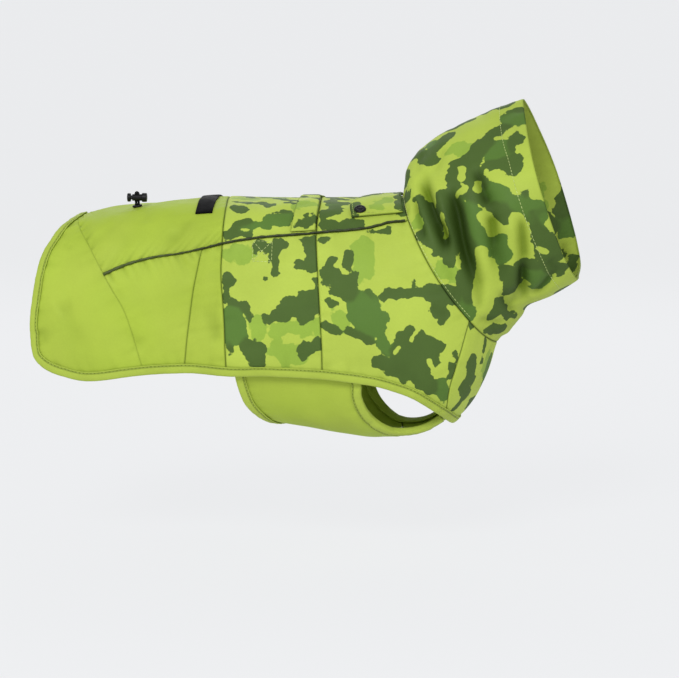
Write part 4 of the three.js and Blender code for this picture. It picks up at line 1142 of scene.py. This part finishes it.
def build_back():
    rear_side = joined(
        stretch(GUSSET_TOP, "hem", "turn", "gusset_top"),
        stretch(GUSSET, "turn", "piping", "gusset_high"),
        stretch(PIPED, "gusset", "slant", "to_slant"),
        stretch(PIPED, "slant", "camo", "to_camo"),
    )
    rear_hem = over(stretch(HEM, "rear", "gusset", "back"))
    build_panel("cloth_back_rear", "back_rear", (*both(rear_side), rear_hem, back_to(CAMO)), "lime",
                insets=(0, 0, PANEL_TO_HEM, 0), rolls=(faint_gusset, faint_gusset, 0, SEAM_ROLL),
                puckers=(PIPED_PUCKER, PIPED_PUCKER, 0.6, 0.25))
    side = stretch(PIPED, "camo", "yoke", "to_yoke")
    sides = (*both(side), back_to(CAMO), back_to(YOKE))
    build_panel("cloth_back_camo", "back_camo", sides, "camo", "back")
    ends = np.array([VENT[1][-1], YOKE[1][2]])
    build_panel("cloth_vent", "vent_flap", (*both(ends), back_to(VENT), back_to(YOKE)), "camo", "back",
                insets=(VENT_TO_PIPING, VENT_TO_PIPING, 0, GAP), rolls=(0.4, 0.4, 0.5, SEAM_ROLL),
                puckers=(0.2, 0.2, 0.35, 0.1), out=LIFT + WALL)
    side = stretch(PIPED, "yoke", "neck", "to_neck")
    neck = over(ring_nodes(NECK_RING, 0, YOKE_ROUND, COUNT["neck_yoke"]))
    sides = (*both(side), back_to(YOKE, "neck_yoke"), neck)
    build_panel("cloth_yoke", "back_yoke", sides, "camo", "yoke")


def build_chest():
    side = stretch(CHEST, "foot", "neck", "chest_seam")
    hem = beneath(stretch(HEM, "chest", "front", "neck_chest"))
    neck = beneath(ring_nodes(NECK_RING, CHEST_ROUND, 180, COUNT["neck_chest"]))
    build_panel("cloth_chest", "chest", (*to_far_side(side), hem, neck), "camo", "chest",
                insets=(0, 0, PANEL_TO_HEM, 0), rolls=(SEAM_ROLL, SEAM_ROLL, 0, SEAM_ROLL))


def build_side(node, side, sides, key, family, insets, rolls, puckers, pitch=None):
    """A panel of one side of the coat."""
    mark = MARKS[side]
    build_panel(f"cloth_{node}_{mark}", f"{node}_{mark}", [sided(part, side) for part in sides], key,
                family, insets=insets, rolls=rolls, puckers=puckers, pitch=pitch)


def build_sides(side):
    build_side("tail", side, (
        stretch(GUSSET_TOP, "hem", "turn", "hem_corner"),
        stretch(HEM, "corner", "foot", "hem_corner"),
        stretch(HEM, "gusset", "corner", "gusset_high", "gusset_low"),
        joined(stretch(GUSSET, "turn", "piping", "gusset_high"),
               stretch(GUSSET, "piping", "foot", "gusset_low")),
    ), "lime", None, (0, PANEL_TO_HEM, PANEL_TO_HEM, 0), (FAINT_ROLL, 0, 0, FAINT_ROLL),
        (0.2, 0.5, 0.5, 0.3))
    build_side("side_rear", side, (
        stretch(PIPED, "gusset", "slant", "to_slant"),
        stretch(HEM, "foot", "slant", "to_slant"),
        stretch(GUSSET, "piping", "foot", "gusset_low"),
        stretch(SLANT, "top", "foot", "gusset_low"),
    ), "lime", None, TO_HEM, (SEAM_ROLL, 0, FAINT_ROLL, 0.6), (PIPED_PUCKER, 0.5, 0.3, 0.25))
    build_side("side_mid", side, (
        stretch(PIPED, "slant", "camo", "to_camo"),
        stretch(HEM, "slant", "camo", "to_camo"),
        stretch(SLANT, "top", "foot", "gusset_low"),
        stretch(CAMO, "piping", "foot", "gusset_low"),
    ), "lime", None, TO_HEM, (SEAM_ROLL, 0, 0.6, 0.8), (0.4, 0.45, 0.25, 0.3))
    build_side("side_camo", side, (
        stretch(PIPED, "camo", "yoke", "to_yoke"),
        stretch(HEM, "camo", "yoke", "to_yoke"),
        stretch(CAMO, "piping", "foot", "gusset_low"),
        stretch(YOKE, "piping", "foot", "gusset_low"),
    ), "camo", "flank", TO_HEM, (SEAM_ROLL, 0, 0.8, 0.8), (0.35, 0.45, 0.3, 0.25))
    build_side("shoulder", side, (
        stretch(PIPED, "yoke", "neck", "to_neck"),
        stretch(HEM, "yoke", "chest", "to_neck"),
        stretch(YOKE, "piping", "foot", "neck_shoulder", "chest_seam"),
        joined(ring_nodes(NECK_RING, YOKE_ROUND, CHEST_ROUND, COUNT["neck_shoulder"]),
               stretch(CHEST, "neck", "foot", "chest_seam")),
    ), "camo", "shoulder", TO_HEM, (SEAM_ROLL, 0, 0.8, 0.8), (0.35, 0.5, 0.25, 0.3))


def build_hood(side):
    crest, throat = (np.array([(NECK_RING, about), (RIM_RING, about)], float) for about in (0, 180))
    sides = (crest, throat, ring_nodes(NECK_RING, 0, 180, 18), ring_nodes(RIM_RING, 0, 180, 18))
    build_side("hood", side, sides, "camo", "hood", (0, 0, 0, 0), (SEAM_ROLL, SEAM_ROLL, SEAM_ROLL, 0.5),
               (0.2, 0.2, 0.3, 0.15), pitch=1.5)


def hem_edge():
    """The hem from under the tail to the middle of the chest."""
    stretches = (
        ("rear", "gusset", "back"), ("gusset", "corner", "gusset_high", "gusset_low"),
        ("corner", "foot", "hem_corner"), ("foot", "slant", "to_slant"), ("slant", "camo", "to_camo"),
        ("camo", "yoke", "to_yoke"), ("yoke", "chest", "to_neck"), ("chest", "front", "neck_chest"),
    )
    return joined(*(stretch(HEM, *names) for names in stretches))


def piped_edge():
    """The piped seam from the gusset to the neck."""
    stretches = (("gusset", "slant", "to_slant"), ("slant", "camo", "to_camo"),
                 ("camo", "yoke", "to_yoke"), ("yoke", "neck", "to_neck"))
    return joined(*(stretch(PIPED, *names) for names in stretches))


def band_edge(column, start=0):
    """The belly band's rear (1) or front (2) edge from a place about."""
    rows = BAND[BAND[:, 0] >= start]
    return rows[:, [column, 0]]


def build_band():
    strap_round = STRAP[1][0, 1]

    def front_inset(places):
        return np.where(np.abs(places[:, 1] + 180) < 180 - strap_round, GAP / 2, PANEL_TO_HEM)

    rear, front = band_edge(1), band_edge(2)
    ends = np.array([rear[0], front[0]])
    sides = (*to_far_side(ends), beneath(smoothed(rear)), beneath(smoothed(front)))
    build_panel("cloth_belly_band", "belly_band", sides, "lime",
                insets=(GAP / 2, GAP / 2, PANEL_TO_HEM, front_inset), rolls=(0.4, 0.4, 0, 0),
                puckers=(0, 0, 0.4, 0.4), under=tuck)
    side = joined(stretch(STRAP, "band", "hem", "strap"), nodes(STRAP, "hem", "end", 1))
    rear = beneath(smoothed(band_edge(2, strap_round)))
    front = beneath(ring_nodes(*STRAP[1][-1], 180, 3))
    build_panel("cloth_chest_strap", "chest_strap", (*to_far_side(side), rear, front), "lime",
                insets=(PANEL_TO_HEM, PANEL_TO_HEM, 0, 0), rolls=(0, 0, SEAM_ROLL, 0),
                puckers=(0.3, 0.3, 0.1, 0.1), under=tuck)


def band_binding_edge():
    return beneath(smoothed(band_edge(1, WING_ROUND)))


def leg_edge():
    """The leg opening from the band's wing to the strap's meeting with the hem."""
    rows = band_edge(2, WING_ROUND)
    rows = rows[rows[:, 1] <= STRAP[1][0, 1]]
    return joined(smoothed(rows), stretch(STRAP, "band", "hem", "strap"))

def build_bindings():
    for side, mark in MARKS.items():
        hem = trimmed(sided(hem_edge(), side), GAP / 2, GAP / 2)
        build_binding(f"tape_hem_{mark}", hem, -side, f"hem_binding_{mark}", seed=11 + side)
        leg = sided(leg_edge(), side)
        build_binding(f"tape_leg_{mark}", leg, side, f"leg_binding_{mark}", tuck, seed=31 + side)
    build_binding("tape_band", band_binding_edge(), 1, "band_binding", tuck, seed=51)


def build_piping(side):
    """A low bead, wide at the tail and narrowest 72 mm further on."""
    mark = MARKS[side]
    half = PIPING_WIDTH / 2
    angles = np.radians(np.linspace(0, 180, 13))
    foot, crown = LIFT + 0.05, PIPING_HEIGHT + 0.1
    section = [(half * math.cos(a), foot + crown * math.sin(a) ** 0.8) for a in angles]
    edge = trimmed(sided(piped_edge(), side), 0.2, PIPING_WIDTH)
    lengths = edge_lengths(edge)
    top = np.array([height > LIFT + 0.4 for _, height in section])
    rise = 0.3 * wave(lengths * 1.3, 71 + side)[:, None] * top
    spread = 0.62 + 0.12 * wave(lengths * 1.6, 75 + side) + 0.3 * np.exp(-lengths / 30)
    spread -= 0.16 * np.exp(-(((lengths - 72) / 32) ** 2))
    mesh = closed_sweep(f"trim_piping_{mark}", sweep_points(edge, section, 1, rise=rise, spread=spread))
    new_piece(mesh, "piping", stands_for=(f"piping_{mark}",))


def flap_sides():
    """The leash flap's lower, upper and free edges and its seam at the neck, on the right."""
    low, high = nodes(FLAP_LOW, "free", "neck", 8), nodes(FLAP_HIGH, "free", "neck", 8)
    end = joined(nodes(FLAP_END, "low", "corner", 3), nodes(FLAP_END, "corner", "high", 3))
    neck = np.linspace(low[-1], high[-1], 40)
    return tuple(sided(part, RIGHT) for part in (low, high, end, neck))


def build_back_trims():
    rear, front, half = LABEL
    ends = np.array([(rear, half), (front, half)])
    sides = (*both(ends), ring_nodes(rear, -half, half, 4), ring_nodes(front, -half, half, 4))
    build_panel("trim_label", "label", sides, "label", rolls=(0.25,) * 4, puckers=(0.05,) * 4,
                out=LIFT + TAPE, wall=TAPE)
    build_panel("cloth_leash_flap", "leash_flap", flap_sides(), "camo", "flap",
                rolls=(0.7, 0.7, 0.7, 0.2), puckers=(0.15, 0.15, 0.1, 0),
                out=FLAP_TOP, wall=FLAP_WALL)


def on_skin(place, out):
    """A frame on the cloth: X forward, Z out."""
    ring, about = (np.array(value, float) for value in place)
    along, _, normal = tangents(ring, about)
    forward = unit(along)
    turn = Matrix(np.stack([forward, np.cross(normal, forward), normal], 1).tolist()).to_4x4()
    return Matrix.Translation(Vector(skin(ring, about, out))) @ turn


def turned(profile, steps):
    """A bmesh turned about Z from (radius, height) pairs."""
    work = bmesh.new()
    spots = [work.verts.new((radius, 0, height)) for radius, height in profile]
    edges = [work.edges.new(pair) for pair in zip(spots, spots[1:])]
    bmesh.ops.spin(work, geom=spots + edges, cent=(0, 0, 0), axis=(0, 0, 1), angle=2 * math.pi,
                   steps=steps, use_merge=True)
    bmesh.ops.remove_doubles(work, verts=work.verts, dist=1e-5)
    bmesh.ops.recalc_face_normals(work, faces=work.faces)
    return work


def bevel_sharp(work, turn, width, segments):
    """Rounds the edges whose faces turn by more than an angle."""
    sharp = [e for e in work.edges if len(e.link_faces) == 2 and e.calc_face_angle() > turn]
    bmesh.ops.bevel(work, geom=sharp, offset=width, segments=segments, affect="EDGES", profile=0.5,
                    material=-1)


def build_snap():
    profile = [(0, 0), (4.9, 0), (5.0, 0.35), (4.8, 1.0), (4.3, 1.5), (3.7, 1.75), (3.2, 1.75),
               (2.9, 1.45), (2.5, 1.4), (2.2, 1.55), (1.4, 1.7), (0, 1.75)]
    mesh = placed_mesh(turned(profile, 48), "trim_snap", on_skin(SNAP, FLAP_TOP + GAP))
    new_piece(mesh, "plastic", stands_for=("snap_cap",))


def stand_frame():
    """The cord lock's upright frame on the back."""
    ring, about = (np.array(value, float) for value in CORD_PLACE)
    normal = tangents(ring, about)[2]
    lean = math.atan2(-normal[1], normal[2])
    return Matrix.Translation(Vector(bare_skin(ring, about))) @ Matrix.Rotation(lean, 4, "X")


def oval_prism(length, width, height):
    """An upright prism with round ends."""
    work = bmesh.new()
    bmesh.ops.create_circle(work, cap_ends=True, segments=24, radius=width / 2)
    for vertex in work.verts:
        if abs(vertex.co.x) > 1e-6:
            vertex.co.x += math.copysign((length - width) / 2, vertex.co.x)
    made = bmesh.ops.extrude_face_region(work, geom=list(work.faces))["geom"]
    top = [item for item in made if isinstance(item, bmesh.types.BMVert)]
    bmesh.ops.translate(work, verts=top, vec=(0, 0, height))
    bmesh.ops.recalc_face_normals(work, faces=work.faces)
    return work


def bored(name, mesh, place, cutter):
    """A mesh with a hole of the cutter's shape."""
    body = bpy.data.objects.new(name + "_blank", mesh)
    tool = bpy.data.objects.new(name + "_tool", placed_mesh(cutter, name + "_tool", place))
    for item in (body, tool):
        bpy.context.scene.collection.objects.link(item)
    cut = body.modifiers.new("Hole", "BOOLEAN")
    cut.operation, cut.object, cut.solver = "DIFFERENCE", tool, "EXACT"
    bpy.context.view_layer.update()
    made = bpy.data.meshes.new_from_object(body.evaluated_get(bpy.context.evaluated_depsgraph_get()))
    made.name = name
    made.set_sharp_from_angle(angle=CRISP)
    for item in (body, tool):
        bpy.data.objects.remove(item)
    return made


def lock_part(node, profile, bevel, axis, hole_shift, hole_length, body):
    """A turned part of the lock, along the lock's axis, with the cord's hole through it."""
    work = turned(profile, 48)
    bevel_sharp(work, 0.6, bevel, 3)
    bmesh.ops.rotate(work, verts=work.verts, cent=(0, 0, 0), matrix=Matrix.Rotation(math.pi / 2, 3, "Y"))
    blank = placed_mesh(work, node + "_turned", axis)
    upright = axis @ Matrix.Translation((hole_shift, 0, -HOLE_DEPTH / 2))
    mesh = bored("trim_" + node, blank, upright, oval_prism(hole_length, HOLE_WIDTH, HOLE_DEPTH))
    new_piece(mesh, "plastic", body=body, stands_for=(node,))

HOLE_WIDTH = 2.4
HOLE_DEPTH = 12  # right through the lock


def build_lock():
    stand = stand_frame()
    axis = stand @ Matrix.Translation((0, 0, LOCK_HEIGHT))
    shell = [(0, 6.5), (2.0, 6.5), (2.0, -4), (2.8, -4), (2.8, 4.2), (3.8, 4.4), (3.8, 7.9), (3.5, 8.1),
             (0, 8.1)]
    lock_part("lock_barrel", shell, 0.18, axis, 0, 5.0, "coat")
    button = [(0, -8.1), (3.3, -8.1), (3.6, -7.8), (3.6, -5.8), (3.3, -5.5), (1.7, -5.5), (1.7, 3.6),
              (0, 3.6)]
    lock_part("lock_plunger", button, 0.15, axis, -0.6, 6.0, "plunger")

    work = oval_prism(8.4, 6, 2.0)
    bevel_sharp(work, 0.9, 0.9, 4)
    place = on_skin(CORD_PLACE, GAP)
    blank = placed_mesh(work, "grommet_blank", place)
    hole = oval_prism(4.9, HOLE_WIDTH, 8)
    grommet = bored("trim_grommet", blank, place @ Matrix.Translation((0, 0, -3)), hole)
    new_piece(grommet, "plastic", stands_for=("cord_grommet",))
    build_cord(stand)


def build_cord(stand):
    """The elastic cord's short loop through the lock."""
    bend, radius = 1.09, 1.05
    top = LOCK_HEIGHT + LOOP_HEIGHT - radius
    rise = np.linspace(0.5, top - bend, 30)
    turn = np.radians(np.linspace(180, 0, 15))[1:-1]
    up = [(-bend, 0, z) for z in rise]
    arch = [(bend * math.cos(a), 0, top - bend + bend * math.sin(a)) for a in turn]
    down = [(bend, 0, z) for z in rise[::-1]]
    path = np.array(up + arch + down)
    side = np.array([0.0, 1.0, 0.0])
    normal = np.cross(side, unit(np.gradient(path, axis=0)))
    angles = np.radians(np.arange(0, 360, 30))
    rings = []
    for index, (spot, out) in enumerate(zip(path, normal)):
        braid = radius * (1 + 0.05 * np.cos(2 * angles + index * 0.8))
        across, outward = np.cos(angles) * braid, np.sin(angles) * braid
        rings.append(spot + np.outer(across, side) + np.outer(outward, out))
    placed = np.array(rings) @ np.array(stand.to_3x3()).T + np.array(stand.translation)
    new_piece(closed_sweep("trim_drawcord", placed), "cord", stands_for=("drawcord",))


def box_lines():
    """The sewn box with its cross that holds the end of the belly band, as lines of places."""
    low, high, rear, front = BOX_STITCH
    corners = [(low, rear), (high, rear), (high, front), (low, front), (low, rear)]
    lines = [np.linspace(a, b, 12) for a, b in zip(corners, corners[1:])]
    return lines + [np.linspace(corners[0], corners[2], 16), np.linspace(corners[1], corners[3], 16)]


def build_all_stitches():
    inset = BINDING_WIDTH - BINDING_STITCH
    top = LIFT + TAPE - 0.28
    hem, leg = hem_edge(), leg_edge()
    lines = [line_beside(trimmed(sided(hem, side), 1, 1), -side, inset, top) for side in SIDES]
    lines += [line_beside(trimmed(sided(leg, side), 1, 1), side, inset, top, tuck) for side in SIDES]
    lines.append(line_beside(trimmed(band_binding_edge(), 1, 1), 1, inset, top, tuck))
    build_stitches("stitch_binding", lines, "thread")

    rim = nodes(RIM_STITCH, "crest", "throat", 24)
    neck = ring_nodes(NECK_RING + 0.16, 2, 124, 10)
    lines = [line_on(sided(line, side), 0.1) for line in (rim, neck) for side in SIDES]
    lines += [line_on(sided(line, side), 0.12) for side in SIDES for line in box_lines()]
    build_stitches("stitch_seams", lines, "pale_thread")

    low, high, end, _ = flap_sides()
    insides = ((low, 1), (high, -1), (end, -1))
    lines = [line_beside(edge, inside, FLAP_STITCH, FLAP_TOP) for edge, inside in insides]
    build_stitches("stitch_flap", lines, "thread")


# ---- stage ----
MIDDLE = (0.0183, 0, -0.119)  # of the coat, in metres as all of the stage is
LIT_PLACE = (0.02, 0, -0.1)
FLOOR_PROFILE = ((0, 0), (3, 0), (4, 0.08), (5, 0.5), (5.8, 1.4), (6.2, 3), (6.3, 6))
SKY = (0.95, 0.97, 1.0)


def aim(item, place, target):
    item.location = place
    item.rotation_mode = "QUATERNION"
    item.rotation_quaternion = (Vector(target) - Vector(place)).to_track_quat("-Z", "Y")


def add_camera(scene, studio):
    camera = bpy.data.cameras.new("Camera")
    camera.lens = studio.lens
    camera.clip_start, camera.clip_end = 0.05, 60
    item = bpy.data.objects.new("Camera", camera)
    scene.collection.objects.link(item)
    level = math.cos(studio.elevation)
    back = Vector((math.sin(studio.azimuth) * level, -math.cos(studio.azimuth) * level,
                   math.sin(studio.elevation)))
    aim(item, Vector(MIDDLE) + back * studio.distance, MIDDLE)
    scene.camera = item


def add_floor(scene, studio):
    """A round floor that curves up into the backdrop."""
    profile = [(radius, height + studio.floor) for radius, height in FLOOR_PROFILE]
    mesh = mesh_from(turned(profile, 96), "Floor")
    mesh.shade_smooth()
    floor = bpy.data.objects.new("Floor", mesh)
    scene.collection.objects.link(floor)
    rounding = floor.modifiers.new("Round", "SUBSURF")
    rounding.levels = rounding.render_levels = 2
    floor.visible_glossy = floor.visible_shadow = False
    material, tree = start_material("Studio paper")
    pale = rgba(studio.paper)
    glow = add(tree, "Emission", {"Color": pale, "Strength": 1.0}).outputs[0]
    matt = add(tree, "BsdfDiffuse", {"Color": pale}).outputs[0]
    paper = add(tree, "MixShader", {0: 0.12, 1: glow, 2: matt}).outputs[0]
    add(tree, "OutputMaterial", {"Surface": paper})
    mesh.materials.append(material)


def add_light(name, place, size, power):
    light = bpy.data.lights.new(name, "AREA")
    light.shape, light.size, light.energy = "DISK", size, power
    item = bpy.data.objects.new(name, light)
    bpy.context.scene.collection.objects.link(item)
    aim(item, place, LIT_PLACE)


def build_stage(scene):
    studio = scene.raincoat_stage
    add_camera(scene, studio)
    add_floor(scene, studio)
    world = bpy.data.worlds.new("Studio")
    scene.world = world
    world.use_nodes = True
    world.node_tree.nodes["Background"].inputs[0].default_value = rgba(SKY)
    world.node_tree.nodes["Background"].inputs[1].default_value = studio.ambient
    add_light("Key", (-0.3, -2.5, 1.4), 0.9, studio.key)
    add_light("Fill", (1.6, -2.2, 0.5), 1.8, studio.key * 0.1)
    add_light("Rear", (-0.2, 2.2, 1.5), 1.8, studio.key * 0.4)
    scene.view_settings.view_transform = "Standard"


# ---- the add-on ----
def number_property(name, description, default, **settings):
    return bpy.props.FloatProperty(name=name, description=description, default=default, **settings)


def length_property(name, description, default):
    return number_property(name, description, default, min=0, unit="LENGTH", subtype="DISTANCE",
                           precision=4)


def colour_property(name, description, default):
    return bpy.props.FloatVectorProperty(name=name, description=description, default=default, size=3,
                                         min=0, max=1, subtype="COLOR")


class RaincoatSizes(bpy.types.PropertyGroup):
    """Sizes of the cloth's detail"""

    pitch: length_property("Cloth pitch", "Distance between vertices of a panel", 0.0019)
    weave: length_property("Weave", "Distance between threads of the shell cloth", 0.00055)
    stitch: length_property("Stitch", "Length of a stitch", 0.0026)
    stitch_gap: length_property("Stitch gap", "Distance between two stitches", 0.0006)
    thread: length_property("Thread", "Thickness of the sewing thread", 0.0005)


class RaincoatColours(bpy.types.PropertyGroup):
    """Colours of the cloth and its trims"""

    lime: colour_property("Lime", "Plain shell cloth", (0.37, 0.475, 0.055))
    print_light: colour_property("Print light", "Ground of the print", (0.405, 0.515, 0.07))
    print_soft: colour_property("Print soft", "Soft patches of the print", (0.27, 0.41, 0.05))
    print_mid: colour_property("Print mid", "Lighter green masses of the print", (0.09, 0.178, 0.03))
    print_dark: colour_property("Print dark", "Darker green masses of the print", (0.068, 0.12, 0.024))
    binding: colour_property("Binding", "Binding tape", (0.38, 0.485, 0.062))
    piping: colour_property("Piping", "Piping along the back", (0.045, 0.066, 0.008))
    label: colour_property("Label", "Bare woven label", (0.004, 0.004, 0.0045))
    plastic: colour_property("Plastic", "Snap, grommet and cord lock", (0.004, 0.004, 0.0045))
    cord: colour_property("Cord", "Elastic drawcord", (0.006, 0.006, 0.0065))
    thread: colour_property("Thread", "Thread of the bindings", (0.3, 0.38, 0.05))
    pale_thread: colour_property("Pale thread", "Thread of the topstitching", (0.42, 0.5, 0.16))


class RaincoatStage(bpy.types.PropertyGroup):
    """The studio round the coat"""

    azimuth: number_property("Azimuth", "Camera's angle round the coat", math.radians(5),
                             subtype="ANGLE", unit="ROTATION")
    elevation: number_property("Elevation", "Camera's angle above the horizon", math.radians(5.5),
                               subtype="ANGLE", unit="ROTATION")
    distance: length_property("Distance", "From the camera to the coat's middle", 2.1)
    lens: number_property("Lens", "Focal length", 130.99, min=1, unit="CAMERA")
    floor: number_property("Floor", "Height of the floor", -0.301, unit="LENGTH", subtype="DISTANCE")
    paper: colour_property("Paper", "Floor and backdrop", (0.853, 0.861, 0.876))
    key: number_property("Key light", "Power of the main light", 40, min=0, unit="POWER")
    ambient: number_property("Ambient", "Strength of the light all round", 0.5, min=0)


class RAINCOAT_OT_stage(bpy.types.Operator):
    """Set up the camera, lights and floor"""

    bl_idname = "raincoat.stage"
    bl_label = "Studio"

    def execute(self, context):
        build_stage(context.scene)
        make_materials()
        return {"FINISHED"}


class RAINCOAT_OT_back(bpy.types.Operator):
    """Build the panels over the back and under the neck"""

    bl_idname = "raincoat.back"
    bl_label = "Back and chest panels"

    def execute(self, context):
        build_back()
        build_chest()
        return {"FINISHED"}


class RAINCOAT_OT_sides(bpy.types.Operator):
    """Build the side panels from the tail to the shoulder"""

    bl_idname = "raincoat.sides"
    bl_label = "Side panels"

    def execute(self, context):
        for side in SIDES:
            build_sides(side)
        return {"FINISHED"}


class RAINCOAT_OT_hood(bpy.types.Operator):
    """Build the two halves of the hood"""

    bl_idname = "raincoat.hood"
    bl_label = "Hood"

    def execute(self, context):
        for side in SIDES:
            build_hood(side)
        return {"FINISHED"}


class RAINCOAT_OT_band(bpy.types.Operator):
    """Build the belly band and the chest strap"""

    bl_idname = "raincoat.band"
    bl_label = "Belly band and strap"

    def execute(self, context):
        build_band()
        return {"FINISHED"}


class RAINCOAT_OT_trims(bpy.types.Operator):
    """Build the bindings, piping, label, leash flap and snap"""

    bl_idname = "raincoat.trims"
    bl_label = "Bindings and trims"

    def execute(self, context):
        build_bindings()
        for side in SIDES:
            build_piping(side)
        build_back_trims()
        build_snap()
        return {"FINISHED"}


class RAINCOAT_OT_lock(bpy.types.Operator):
    """Build the cord lock, its cord and grommet"""

    bl_idname = "raincoat.lock"
    bl_label = "Cord lock"

    def execute(self, context):
        build_lock()
        return {"FINISHED"}


class RAINCOAT_OT_stitches(bpy.types.Operator):
    """Sew the visible stitch lines"""

    bl_idname = "raincoat.stitches"
    bl_label = "Stitches"

    def execute(self, context):
        build_all_stitches()
        return {"FINISHED"}


OPERATORS = (RAINCOAT_OT_stage, RAINCOAT_OT_back, RAINCOAT_OT_sides, RAINCOAT_OT_hood, RAINCOAT_OT_band,
             RAINCOAT_OT_trims, RAINCOAT_OT_lock, RAINCOAT_OT_stitches)
GROUPS = {"raincoat_sizes": RaincoatSizes, "raincoat_colours": RaincoatColours,
          "raincoat_stage": RaincoatStage}


class RAINCOAT_PT_panel(bpy.types.Panel):
    """Lists the steps that build the coat"""

    bl_idname = "RAINCOAT_PT_panel"
    bl_label = "Dog raincoat"
    bl_space_type = "VIEW_3D"
    bl_region_type = "UI"
    bl_category = "Raincoat"

    def draw(self, context):
        layout = self.layout
        for operator in OPERATORS:
            layout.operator(operator.bl_idname)
        for key in GROUPS:
            group, box = getattr(context.scene, key), layout.box()
            for name in group.__annotations__:
                box.prop(group, name)

def register():
    for item in (*GROUPS.values(), *OPERATORS, RAINCOAT_PT_panel):
        bpy.utils.register_class(item)
    for name, group in GROUPS.items():
        setattr(bpy.types.Scene, name, bpy.props.PointerProperty(type=group))


def unregister():
    for name in GROUPS:
        delattr(bpy.types.Scene, name)
    for item in reversed((*GROUPS.values(), *OPERATORS, RAINCOAT_PT_panel)):
        bpy.utils.unregister_class(item)


def main():
    register()
    for operator in OPERATORS:
        group, name = operator.bl_idname.split(".")
        getattr(getattr(bpy.ops, group), name)()


if __name__ == "__main__":
    main()
